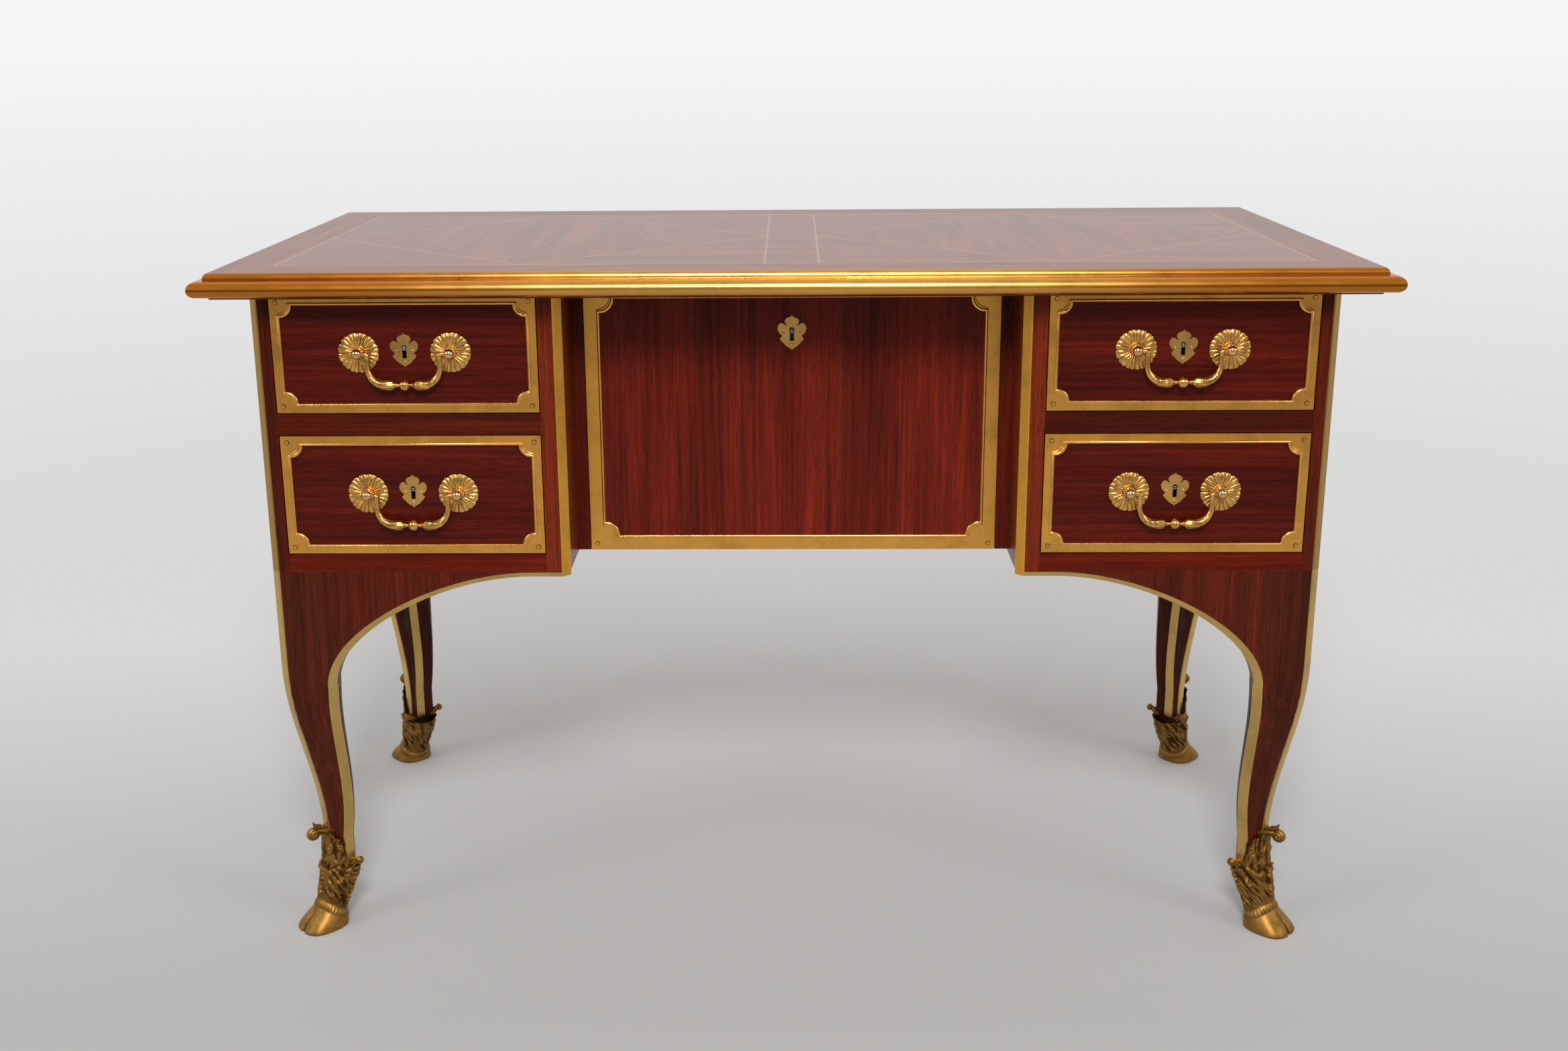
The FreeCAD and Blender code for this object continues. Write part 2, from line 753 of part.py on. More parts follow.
# Top board, with mortises over the upper drawers' bolts and the fall-front's bolt
top_board = box(-board_half_w, board_half_w, -board_half_d, board_half_d, top_under, desk_height)
upper_bolt_z = top_under - drawer_gap
for socket in pair(mortise(drawer_mid_x, top_under, upper_bolt_z, drawer_inside_y)):
    top_board = top_board.cut(socket)
top_board = top_board.cut(mortise(0, top_under, fall_top, fall_back_y))
save("top_board", top_board)
save("top_moulding", *top_mouldings())

# Legs and sabots
right_back_leg, right_back_sabot = leg(), sabot()
for name, shape in (("leg", right_back_leg), ("sabot", right_back_sabot)):
    save(name + "_back_right", shape)
    save(name + "_back_left", across(shape))
    save(name + "_front_right", to_front(shape))
    save(name + "_front_left", across(to_front(shape)))

# Corner posts and the strips that close their outer arrises
post_outline = [
    corner_point(a, b, case_bottom)
    for a, b in ((strip_seat, 0), (post_size, 0), (post_size, post_size), (0, post_size), (0, strip_seat))
]
back_post = prism(post_outline, V(0, 0, case_height))
save("corner_posts", *pair(back_post), *pair(to_front(back_post)))

# Side, back and inner walls
side_panel = box(opening_outer_x, half_w, -half_d + post_size, half_d - post_size, case_bottom, top_under)
save("side_panel_right", side_panel)
save("side_panel_left", across(side_panel))
save("back_panel", box(-opening_outer_x, opening_outer_x, back_inner_y, half_d, case_bottom, top_under))
cheek_plan = [
    V(cheek_inner_x + strip_seat, front_y, case_bottom), V(opening_inner_x, front_y, case_bottom),
    V(opening_inner_x, back_inner_y, case_bottom), V(cheek_inner_x, back_inner_y, case_bottom),
    V(cheek_inner_x, front_y + strip_seat, case_bottom),
]
cheek = prism(cheek_plan, V(0, 0, case_height))
save("cheek_right", cheek)
save("cheek_left", across(cheek))

# Boards under the drawers; the divider has the mortise of the lower drawer's bolt
divider = box(opening_inner_x, opening_outer_x, front_y, back_inner_y, divider_low, divider_high)
divider = divider.cut(mortise(drawer_mid_x, divider_low, divider_low - drawer_gap, drawer_inside_y))
save("drawer_dividers", *pair(divider))
pedestal_floor = box(
    opening_inner_x, opening_outer_x, front_y, back_inner_y, case_bottom, case_bottom + floor_thickness)
save("pedestal_floors", *pair(pedestal_floor))
compartment_floor = box(
    -cheek_inner_x, cheek_inner_x, fall_floor_y, back_inner_y, case_bottom, fall_floor_top)
save("compartment_floor", compartment_floor)

# Aprons and their brass edging
for node, shaped in (("aprons", bracket), ("apron_edging", edging)):
    at_back = shaped(front_run, half_w, "back")
    at_side = shaped(side_run, half_d, "right")
    at_front = to_front(shaped(front_run, front_span, "back"))
    save(node, *pair(at_front), *pair(at_back), *pair(at_side), *pair(to_front(at_side)))

# Brass strips on the case corners, the cheeks and the legs
corner_strip = prism(strip_section(0, 0, 1, 1, case_bottom), V(0, 0, case_height))
strip_inner = strip_seat - glue_gap * ROOT2
cheek_strip_plan = [
    V(cheek_inner_x + strip_inner, front_y, lip_z),
    V(cheek_inner_x + strip_chamfer, front_y, lip_z),
    V(cheek_inner_x, front_y + strip_chamfer, lip_z),
    V(cheek_inner_x, front_y + strip_inner, lip_z),
]
cheek_strip = prism(cheek_strip_plan, V(0, 0, top_under - lip_z))
save("corner_strips", *pair(corner_strip), *pair(to_front(corner_strip)), *pair(cheek_strip))
all_leg_strips = []
for strip in leg_strips():
    all_leg_strips += pair(strip) + pair(to_front(strip))
save("leg_strips", *all_leg_strips)

# Jambs, door stops and the bushes of the fall-front's pivots
jamb = box(cheek_inner_x - jamb_width, cheek_inner_x, fall_y, fall_back_y, case_bottom, top_under)
bush_start = V(cheek_inner_x - jamb_width, pivot_y, pivot_z)
jamb = jamb.cut(Part.makeCylinder(bush_radius, bush_length, bush_start, X_AXIS))
bush = Part.makeCylinder(bush_radius, bush_length, bush_start, X_AXIS)
bush = bush.cut(Part.makeCylinder(pivot_radius + pivot_clearance, bush_length, bush_start, X_AXIS))
stop_y = fall_floor_y + stop_depth
stop = box(cheek_inner_x - stop_width, cheek_inner_x, fall_floor_y, stop_y, fall_floor_top, top_under)
save("door_jambs", *pair(jamb), *pair(stop))
save("pivot_bushes", *pair(bush))

# Fall-front: its lower back edge is rounded about the pivot
round_k = pivot_rise / ROOT2
profile_edges = lines_3d([
    V(-fall_half, pivot_y, case_bottom), V(-fall_half, fall_y, case_bottom), V(-fall_half, fall_y, fall_top),
    V(-fall_half, fall_back_y, fall_top), V(-fall_half, fall_back_y, pivot_z),
])
round_edge = Part.Arc(
    V(-fall_half, fall_back_y, pivot_z), V(-fall_half, pivot_y + round_k, pivot_z - round_k),
    V(-fall_half, pivot_y, case_bottom)).toShape()
fall_panel = Part.Face(Part.Wire(profile_edges + [round_edge])).extrude(V(2 * fall_half, 0, 0))
fall_key_z = fall_top - fall_key_drop
fall_panel = fall_panel.cut(keyhole(0, fall_key_z, fall_back_y + over, fall_y - over))
frame_half = fall_half - frame_margin
fall_rect = (-frame_half, frame_half, case_bottom + frame_margin, fall_top - frame_margin)
for x, z in screw_places(*fall_rect):
    hole = bore(x, z, screw_shank_radius + screw_clearance, fall_y + screw_length, fall_y - over)
    fall_panel = fall_panel.cut(hole)
pin_start = V(fall_half - pivot_in, pivot_y, pivot_z)
pivot_pin = Part.makeCylinder(pivot_radius, pivot_in + pivot_out, pin_start, X_AXIS)
for pin in pair(pivot_pin):
    fall_panel = fall_panel.cut(pin)
save("fall_panel", fall_panel)
save("fall_pivots", *pair(pivot_pin))
fall_frame = brass_frame(*fall_rect, fall_frame_band, fall_frame_ear, fall_y)
save("fall_frame", fall_frame, *frame_screws(*fall_rect, fall_y))
save("fall_escutcheon", escutcheon(0, fall_key_z, fall_escutcheon_height, fall_y))
save("fall_lock", lock_case(0, fall_key_z, fall_top, fall_back_y))
save("fall_bolt", lock_bolt(0, fall_top, fall_back_y))

# Drawers
for level, (low, high) in LEVELS.items():
    for node, solids in drawer(low, high).items():
        save(node + "_" + level + "_right", *solids)
        save(node + "_" + level + "_left", *[across(solid) for solid in solids])
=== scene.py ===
# Money changers desk: mahogany veneer, brass edges and frames, bail handles and gilt hoof sabots.
import math

import bpy
from mathutils import Matrix, Vector, noise


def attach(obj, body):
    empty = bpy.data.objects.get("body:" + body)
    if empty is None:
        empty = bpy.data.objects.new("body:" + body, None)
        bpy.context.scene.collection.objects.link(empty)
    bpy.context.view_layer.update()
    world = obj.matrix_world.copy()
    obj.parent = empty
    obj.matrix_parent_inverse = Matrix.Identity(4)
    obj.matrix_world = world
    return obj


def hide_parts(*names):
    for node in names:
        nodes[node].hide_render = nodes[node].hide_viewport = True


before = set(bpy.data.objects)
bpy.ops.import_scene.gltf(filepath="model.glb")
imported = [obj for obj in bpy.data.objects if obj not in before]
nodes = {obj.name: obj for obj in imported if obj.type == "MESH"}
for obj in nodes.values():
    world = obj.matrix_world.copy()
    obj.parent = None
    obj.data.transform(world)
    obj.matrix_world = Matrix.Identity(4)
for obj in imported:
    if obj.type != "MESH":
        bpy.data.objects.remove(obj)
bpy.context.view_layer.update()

MM = 0.001
SIDES = {"left": -1, "right": 1}
ENDS = {"front": -1, "back": 1}
BOSS_Z = {"lower": 527.555, "upper": 681.055}
DRAWERS = [f"{level}_{side}" for level in BOSS_Z for side in SIDES]
# Faces of a node that meet at fewer degrees than this are shaded as one curve
SMOOTH_ANGLE = 32

# Drawer handles, in millimetres
DRAWER_X = 406.5
DRAWER_FACE = -252.5
FRONT_INSIDE = -232.5
POST_HALF = 48.5
KEY_ABOVE_BOSS = 3.0
ROSETTE_RADIUS = 22.0
# Share of the radius, and height there
ROSETTE_PROFILE = ((0, 2.0), (0.27, 2.0), (0.32, 2.5), (0.6, 3.0), (0.8, 2.5), (1.0, 1.1))
# Share of a rosette's rows that lie on its face
ROSETTE_FACE = 0.86
PETALS = 24
SCALLOPS = 12
BOSS_RADIUS = 6.5
DOME_RADIUS = 5.9
BOSS_FRONT = -268.0
BAIL_AXIS = -262.5
PIN_INSET = 4.0
ELBOW_RADIUS = 2.5
ARM_X = 38.0
ARM_STRAIGHT = 14.5
BAIL_DROP = 33.0
BALL_RADIUS = 5.9
# Run from the bail's middle, and radius there
BAIL_RADII = ((0, 1.6), (7.0, 1.6), (7.9, 2.8), (8.8, 1.9), (10.0, 3.2), (13.0, 5.1), (17.0, 5.4),
              (23, 4.8), (31, 4.0), (40, 3.4), (50, 2.8), (58, 2.6), (61.5, 3.1), (64, 2.5), (70, 2.2))

# Key plates, in millimetres: half of the outline from the finial down to the point
ESCUTCHEON_HALF = ((0, 18.7), (0.6, 17.0), (2.0, 15.8), (5.5, 14.4), (7.4, 11.9), (6.9, 9.4), (5.3, 7.2),
                   (5.8, 6.6), (7.8, 8.1), (11.0, 9.5), (13.6, 7.7), (14.8, 4.4), (14.0, 0.6), (12.0, -2.0),
                   (9.9, -4.2), (12.2, -6.4), (11.0, -9.0), (8.6, -11.2), (7.4, -12.9), (5.2, -14.8),
                   (3.2, -16.0), (1.2, -17.2), (0, -18.7))
OUTLINE_STEPS = 4
ESCUTCHEON_RISE = 1.8
KEYHOLE_RADIUS = 3.1
KEYHOLE_RISE = 2.2
KEYHOLE_SLOT = 4.4
KEYHOLE_FOOT = -9.0
KEYHOLE_CUT = 20.0
PLATE_EDGE = 0.6
PIN_SPOTS = ((-8.6, -0.8), (8.6, -0.8), (0, -12.6))
PIN_SINK = 0.2
PIN_RADIUS = 1.25
DRILL_PIN_RADIUS = 1.3
FALL_FACE = -174.0
FALL_KEY_Z = 687.0
FALL_KEY_SCALE = 1.06

# Brass frames, in millimetres
FRAME_RISE = 1.5
FRAME_EDGE = 0.5
# Width of a frame's bars, and radius of the ears in its corners
DRAWER_FRAME = (10.5, 13.0)
FALL_FRAME = (17.0, 16.0)
BEAD_RADIUS = 2.1
BEAD_SET = 1.8
EAR_STEPS = 14
SCREW_INSET = 7.0

# Brass, in metres from the desk's middle: where painted shade toward its ends starts, and where it is full
SHADED_END_RUN = (0.18, 0.5)

# Sabots, in millimetres: the ankle's axis, and the hoof's centre, half length and half width at each height
ANKLE_X = 526.5
ANKLE_Y = 213.0
HOOF_PLAN = ((0, 32, 28, 25.5), (10, 29, 24.5, 23), (20, 22, 20.5, 19.5), (28, 17, 19, 17.5),
             (36, 13, 20, 19), (52, 8, 21.5, 21), (72, 3, 22, 21.5), (96, 0.5, 21.8, 21.8),
             (126, 0, 21.5, 21.5))
HOOF_WAIST = 28.0
SOLE_SQUARE = 0.74
SOLE_ROUND = 1.2
CLEFT_DEPTH = 4.5
# Degrees from the toe, and the collar's height there
RIM = ((0, 124), (40, 114), (62, 108), (74, 97), (86, 79), (100, 71), (180, 66))
RIM_TIPS = 13
# Share of a sabot's rows from the sole up to the rim
RIM_SHARE = 0.9
COLLAR_INSIDE = 14.0
CORONET_Z = 20.0
CORONET_TILT = 10.0
CORONET_HALF = 4.0
CORONET_RIBS = 26
LEAF_RADIUS = 22.0
TIER_Z = 72.0
VEIN_FOOT = 56.0
VEIN_STRETCH = 0.3
FLUTE_SLANT = 0.032
FAN_SLANT = -0.006
# Fineness and height of the veins
FLUTE_VEINS = ((0.15, 0.85), (0.31, 0.6), (0.6, 0.25))
FAN_VEINS = ((0.17, 0.7), (0.34, 0.5), (0.62, 0.25))
BEAD_TURNS = (0.0, math.radians(118), math.radians(-118))
BEAD_STEP = 5.4
# Turn, height and radius of the rolled leaf ends
LEAF_ROLLS = ((1.35, 58, 6.5), (-1.3, 57, 6.5), (0.75, 70, 7.0), (-0.8, 69, 7.0), (2.6, 58, 8.5),
              (-2.5, 60, 8.0), (0.4, 95, 6.5), (-0.45, 93, 6.5), (0.95, 99, 5.5), (-1.0, 98, 5.5))
TOE_BALL = (35.0, 0.0, 117.0)
TOE_BALL_RADIUS = 7.8
SIDE_BALL = (-7.0, 26.5, 78.5)
SIDE_BALL_RADIUS = 4.8
# Three points of each leaf tip's bend, then its thickness and width
TOE_LEAF = ((10, 0, 111), (24, 0, 121), (38, 0, 119), 8.5, 9.5)
TOE_TIP = ((26, 0, 123), (33, 0, 125), (34, 0, 131), 3.0, 4.5)
SIDE_LEAF = ((-2, 16, 71), (-5, 22, 79), (-8, 28, 78))
SIDE_LEAF_SIZE = (5.0, 6.5)

# Top veneers, in metres: half sizes of the inner field and the middle band, and the stringing's width
FIELD_X = 0.5425
FIELD_Y = 0.233
BAND_HALF = 0.0285
STRING = 0.0012

# Studio, in metres and degrees: the camera's yaw, pitch and roll, and each softbox's place, size and watts
CAMERA_PLACE = (0.000386, -1.982814, 1.010851)
CAMERA_TURN = (-1.2541, 15.3336, -0.4735)
SENSOR_MM = 36.0
LENS_MM = 38.574
LENS_SHIFT = (0.01713, -0.02622)
LIGHT_AIM = (0, 0, 0.4)
SOFTBOXES = {"key_light": ((0.0, -2.6, 2.4), 0.7, 66.0), "left_fill": ((-3.4, -2.2, 2.2), 1.3, 24.0),
             "right_fill": ((3.4, -2.2, 2.2), 1.3, 24.0)}
# Where the floor's painted light runs from dark at the front to pale under and behind the desk, and how far
# off it melts into the backdrop
FLOOR_LIGHT_RUN = (-2.5, 1.5)
FLOOR_MELT = (0.9, 3.2)


def deselect():
    bpy.ops.object.select_all(action="DESELECT")


def choose(piece):
    deselect()
    piece.select_set(True)
    bpy.context.view_layer.objects.active = piece


class Tint:
    """A value in a material. Sums on it add Math nodes."""

    def __init__(self, tree, socket=None):
        self.tree = tree
        self.socket = socket

    def node(self, kind, settings=None, inputs=None, output=0):
        """Any node by its type, its settings, and the values or links of its sockets."""
        made = self.tree.nodes.new(kind)
        for name, value in (settings or {}).items():
            if name == "stops":
                lay_stops(made.color_ramp, value)
            else:
                setattr(made, name, value)
        for key, value in (inputs or {}).items():
            feed(self.tree, made.inputs[key], value)
        return Tint(self.tree, made.outputs[output])

    def maths(self, operation, *values):
        return self.node("ShaderNodeMath", {"operation": operation}, dict(enumerate(values)))

    def __add__(self, other):
        return self.maths("ADD", self, other)

    __radd__ = __add__

    def __sub__(self, other):
        return self.maths("SUBTRACT", self, other)

    def __rsub__(self, other):
        return self.maths("SUBTRACT", other, self)

    def __mul__(self, other):
        return self.maths("MULTIPLY", self, other)

    __rmul__ = __mul__

    def __abs__(self):
        return self.maths("ABSOLUTE", self)

    def highest(self, other):
        return self.maths("MAXIMUM", self, other)

    def mapped(self, scale):
        return self.node("ShaderNodeMapping", None, {"Vector": self, "Scale": scale})

    def noise(self, scale, detail=4.0, rough=0.55, warp=0.0):
        return self.node("ShaderNodeTexNoise", None,
                         {"Vector": self, "Scale": scale, "Detail": detail, "Roughness": rough,
                          "Distortion": warp})

    def ramp(self, stops):
        return self.node("ShaderNodeValToRGB", {"stops": stops}, {"Fac": self})

    def between(self, low, high):
        """0 below low, 1 above high, smooth between."""
        return self.node("ShaderNodeMapRange", {"interpolation_type": "SMOOTHSTEP"},
                         {"Value": self, "From Min": low, "From Max": high})

    def mix(self, low, high):
        """Colour low where this value is 0, colour high where it is 1."""
        return self.node("ShaderNodeMix", {"data_type": "RGBA"}, {0: self, 6: low, 7: high}, 2)

    def bump(self, strength, distance):
        return self.node("ShaderNodeBump", None, {"Strength": strength, "Distance": distance, "Height": self})


def feed(tree, socket, value):
    if isinstance(value, Tint):
        tree.links.new(value.socket, socket)
    else:
        socket.default_value = value


def lay_stops(ramp, stops):
    while len(ramp.elements) < len(stops):
        ramp.elements.new(1.0)
    for element, (place, colour) in zip(ramp.elements, stops):
        element.position = place
        element.color = colour


def rgb(red, green, blue):
    return (red, green, blue, 1.0)


def shade(colour, share):
    return rgb(colour[0] * share, colour[1] * share, colour[2] * share)


def new_material(name):
    """A material, and the Object coordinates that its pattern lies on."""
    material = bpy.data.materials.new(name)
    material.use_nodes = True
    place = Tint(material.node_tree).node("ShaderNodeTexCoord", output="Object")
    return material, place


def set_finish(material, values):
    shader = material.node_tree.nodes["Principled BSDF"]
    for key, value in values.items():
        feed(material.node_tree, shader.inputs[key], value)


def along(axis, lengthwise, across):
    """A scale that draws a pattern out along one or two axes."""
    return tuple(lengthwise if name in axis else across for name in "xyz")


def grain_tone(place, axis, ribbon):
    """Ribbon figure, streaks and pores of mahogany along an axis, as two values."""
    figure = place.mapped(along(axis, 2.2, ribbon)).noise(1.0, 3.0, 0.5, 0.5)
    streak = place.mapped(along(axis, 6.0, ribbon * 7)).noise(1.0, 4.0, 0.65, 0.3)
    pores = place.mapped(along(axis, 55.0, 1100.0)).noise(1.0, 2.0, 0.5)
    return figure * 0.42 + streak * 0.58, pores.between(0.55, 0.68)


def mahogany(name, axis, colour, ribbon, strip_width=None):
    """Polished mahogany veneer with its grain along an axis, and in strips where a width is given."""
    material, place = new_material(name)
    tone, pores = grain_tone(place, axis, ribbon)
    if strip_width:
        across = place.node("ShaderNodeSeparateXYZ", None, {0: place}) * (1 / strip_width) + 0.5
        strip = across.maths("FLOOR", across)
        chance = strip.node("ShaderNodeTexWhiteNoise", {"noise_dimensions": "1D"}, {"W": strip})
        tone = tone + (chance - 0.5) * 0.11
    wood = tone.ramp([(0.32, shade(colour, 0.4)), (0.45, shade(colour, 0.78)), (0.55, shade(colour, 1.12)),
                      (0.68, shade(colour, 1.75))])
    wood = (pores * 0.55).mix(wood, shade(colour, 0.2))
    haze = place.noise(9.0, 3.0)
    set_finish(material, {"Base Color": wood, "Roughness": haze * 0.14 + 0.2, "Specular IOR Level": 0.13,
                          "Normal": (tone * 0.5 - pores).bump(0.12, 0.0006)})
    return material


def parquetry_top():
    """The top's veneers: a border, a middle band and a lozenge in each half, parted by light stringing."""
    material, place = new_material("top_parquetry")
    x = abs(place.node("ShaderNodeSeparateXYZ", None, {0: place}, "X"))
    y = abs(place.node("ShaderNodeSeparateXYZ", None, {0: place}, "Y"))
    half_panel = (FIELD_X - BAND_HALF) / 2
    steepness = math.hypot(1 / half_panel, 1 / FIELD_Y)
    to_border = (x - FIELD_X).highest(y - FIELD_Y)
    to_band = x - BAND_HALF
    from_panel = abs(x - (BAND_HALF + half_panel)) * (1 / half_panel)
    to_lozenge = (from_panel + y * (1 / FIELD_Y) - 1) * (1 / steepness)
    inside = 1 - to_border.between(-STRING / 2, STRING / 2)
    lozenge = (1 - to_lozenge.between(-STRING / 2, STRING / 2)) * inside
    strings = (1 - abs(to_band).between(STRING * 0.7, STRING * 1.2)) * inside
    strings = strings.highest((1 - abs(to_lozenge).between(STRING * 0.7, STRING * 1.2)) * inside)
    strings = strings.highest(1 - abs(to_border).between(STRING * 0.8, STRING * 1.3))
    lengthwise, pores_x = grain_tone(place, "x", 30.0)
    crosswise, pores_y = grain_tone(place, "y", 30.0)
    end_border = (x - FIELD_X).between(-STRING, STRING)
    crossed = lozenge.highest(end_border)
    tone = lengthwise * (1 - crossed) + crosswise * crossed
    pores = pores_x * (1 - crossed) + pores_y * crossed
    colour = (0.165, 0.042, 0.014)
    wood = tone.ramp([(0.3, shade(colour, 0.5)), (0.5, shade(colour, 1.0)), (0.7, shade(colour, 1.8))])
    wood = (pores * 0.4).mix(wood, shade(colour, 0.3))
    wood = (strings * 0.75).mix(wood, rgb(0.38, 0.20, 0.09))
    haze = place.mapped((2.0, 5.0, 1.0)).noise(2.0, 4.0, 0.6, 0.6)
    polish = inside * 0.08 + haze * 0.4 + 0.09
    set_finish(material, {"Base Color": wood, "Roughness": haze * 0.2 + 0.25, "Specular IOR Level": 0.1,
                          "Coat Weight": polish, "Coat Roughness": 0.16,
                          "Normal": (haze + tone * 0.3).bump(0.1, 0.001)})
    return material


def brass(name, colour, roughness, axis, tarnish, unevenness=0.06, shaded_end_colour=None):
    """Worn brass with soft clouding, dark flecks, polishing lines along an axis, and painted shade that
    darkens its ends where an end colour is given.
    """
    material, place = new_material(name)
    cloud = place.noise(26.0, 5.0, 0.6, 0.4)
    fleck = place.noise(520.0, 3.0, 0.6).between(0.6, 0.74)
    metal = cloud.ramp([(0.3, shade(colour, 1 - tarnish * 0.7)), (0.5, rgb(*colour)),
                        (0.7, shade(colour, 1 + tarnish * 0.35))])
    if shaded_end_colour:
        # Painted shade: the colour turns darker toward the ends, away from the desk's middle.
        from_middle = abs(place.node("ShaderNodeSeparateXYZ", None, {0: place}, "X"))
        metal = from_middle.between(*SHADED_END_RUN).mix(metal, rgb(*shaded_end_colour))
    metal = (fleck * tarnish * 0.8).mix(metal, rgb(colour[0] * 0.3, colour[1] * 0.25, colour[2] * 0.2))
    lines = place.mapped(along(axis, 12.0, 600.0)) if axis else place.mapped((500.0, 500.0, 500.0))
    scratch = lines.noise(1.0, 3.0, 0.6)
    dullness = cloud * 0.16 + fleck * (tarnish * 0.4) + scratch * 0.04 + (roughness - 0.1)
    set_finish(material, {"Base Color": metal, "Metallic": 1.0, "Roughness": dullness,
                          "Normal": (scratch * 0.4 + cloud).bump(unevenness, 0.0004)})
    return material


def chased(name, colour, hollow_colour, roughness):
    """Gilt metal that is worn bright on its ridges and dark in its hollows, by the carving's own relief."""
    material, place = new_material(name)
    relief = place.node("ShaderNodeAttribute", {"attribute_name": "relief"}, None, "Fac")
    cloud = place.noise(90.0, 5.0, 0.6, 0.3)
    fleck = place.noise(700.0, 3.0, 0.6).between(0.58, 0.75)
    worn = (relief + (cloud - 0.5) * 0.35).between(0.12, 0.62)
    gilt = cloud.ramp([(0.3, shade(colour, 0.7)), (0.52, rgb(*colour)), (0.72, shade(colour, 1.3))])
    gilt = (fleck * 0.45).mix(gilt, rgb(*hollow_colour))
    set_finish(material, {"Base Color": worn.mix(rgb(*hollow_colour), gilt), "Metallic": 1.0,
                          "Roughness": (1 - worn) * 0.25 + cloud * 0.14 + (roughness - 0.07),
                          "Normal": (cloud + fleck * -0.3).bump(0.12, 0.0005)})
    return material


def plain_oak(name, axis, colour):
    material, place = new_material(name)
    rays = place.mapped(along(axis, 3.0, 60.0)).noise(1.0, 4.0, 0.6, 0.3)
    pores = place.mapped(along(axis, 30.0, 900.0)).noise(1.0, 2.0).between(0.55, 0.7)
    wood = rays.ramp([(0.3, shade(colour, 0.65)), (0.5, rgb(*colour)), (0.7, shade(colour, 1.3))])
    wood = (pores * 0.5).mix(wood, shade(colour, 0.4))
    set_finish(material, {"Base Color": wood, "Roughness": rays * 0.2 + 0.45,
                          "Normal": (rays - pores).bump(0.2, 0.0005)})
    return material


def dull_steel(name, colour):
    material, place = new_material(name)
    lines = place.mapped((900.0, 900.0, 20.0)).noise(1.0, 4.0, 0.6)
    cloud = place.noise(60.0, 4.0)
    metal = cloud.ramp([(0.3, shade(colour, 0.6)), (0.55, rgb(*colour)), (0.75, shade(colour, 1.25))])
    set_finish(material, {"Base Color": metal, "Metallic": 1.0, "Roughness": lines * 0.2 + cloud * 0.2 + 0.22,
                          "Normal": lines.bump(0.08, 0.0003)})
    return material


post_wood = mahogany("post_mahogany", "z", (0.066, 0.0066, 0.0017), 60.0)
case_wood = mahogany("case_mahogany", "z", (0.080, 0.0078, 0.0024), 40.0)
cheek_wood = mahogany("cheek_mahogany", "z", (0.14, 0.016, 0.0035), 46.0)
leg_wood = mahogany("leg_mahogany", "z", (0.062, 0.0092, 0.0024), 70.0)
apron_wood = mahogany("apron_mahogany", "z", (0.078, 0.0092, 0.0026), 62.0)
rail_wood = mahogany("rail_mahogany", "x", (0.060, 0.0058, 0.0010), 60.0)
floor_edge_wood = mahogany("floor_edge_mahogany", "x", (0.105, 0.0068, 0.0007), 60.0)
drawer_wood = mahogany("drawer_mahogany", "x", (0.066, 0.0048, 0.0016), 36.0)
fall_wood = mahogany("fall_mahogany", "z", (0.122, 0.0098, 0.0034), 34.0, 0.078)
top_wood = parquetry_top()
oak = plain_oak("oiled_oak", "y", (0.30, 0.165, 0.075))
# The moulding's amber ends are painted shade.
moulding_brass = brass("moulding_brass", (0.76, 0.38, 0.085), 0.3, "xy", 0.15, 0.004, (0.56, 0.19, 0.022))
frame_brass = brass("frame_brass", (0.86, 0.42, 0.08), 0.28, None, 0.28)
bead_brass = brass("bead_brass", (0.90, 0.47, 0.12), 0.24, None, 0.2)
plate_brass = brass("plate_brass", (0.76, 0.43, 0.12), 0.28, None, 0.3)
# The strips' darker colour away from the desk's middle is painted shade.
strip_brass = brass("strip_brass", (0.95, 0.48, 0.07), 0.32, "z", 0.25, shaded_end_colour=(0.45, 0.26, 0.064))
leg_strip_brass = brass("leg_strip_brass", (0.64, 0.42, 0.135), 0.32, "z", 0.25)
# Near-black brass for the painted shadow rings round the frames' screws.
screw_shadow_brass = brass("screw_shadow_brass", (0.045, 0.022, 0.007), 0.45, None, 0.3)
boss_brass = brass("boss_brass", (0.80, 0.50, 0.22), 0.14, None, 0.2)
fitting_gilt = chased("fitting_gilt", (0.76, 0.43, 0.12), (0.15, 0.06, 0.012), 0.25)
sabot_gilt = chased("sabot_gilt", (0.31, 0.16, 0.037), (0.08, 0.038, 0.01), 0.46)
lock_steel = dull_steel("lock_steel", (0.42, 0.42, 0.43))

NODE_FINISHES = {
    "corner_posts": post_wood, "side_panel_left": case_wood, "side_panel_right": case_wood,
    "back_panel": case_wood, "cheek_left": cheek_wood, "cheek_right": cheek_wood, "aprons": apron_wood,
    "door_jambs": case_wood, "drawer_dividers": rail_wood, "pedestal_floors": floor_edge_wood,
    "compartment_floor": oak, "top_board": top_wood, "fall_panel": fall_wood, "pivot_bushes": boss_brass,
    "fall_pivots": boss_brass, "fall_lock": lock_steel, "fall_bolt": lock_steel,
}
for drawer in DRAWERS:
    NODE_FINISHES[f"drawer_front_{drawer}"] = drawer_wood
    NODE_FINISHES[f"drawer_box_{drawer}"] = oak
    NODE_FINISHES[f"drawer_lock_{drawer}"] = lock_steel
    NODE_FINISHES[f"drawer_bolt_{drawer}"] = lock_steel


def give(piece, material):
    piece.data.materials.clear()
    piece.data.materials.append(material)


def settle(piece, body, slot, material, *stands_for):
    """Gives a finished piece its material and body, and hides the nodes that it stands for."""
    give(piece, material)
    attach(piece, body)
    if stands_for:
        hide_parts(*stands_for)


def flatten_normals(piece):
    """Keeps flat faces flat beside their rounded edges."""
    choose(piece)
    weights = piece.modifiers.new("flat_faces", "WEIGHTED_NORMAL")
    weights.keep_sharp = True
    bpy.ops.object.modifier_apply(modifier=weights.name)


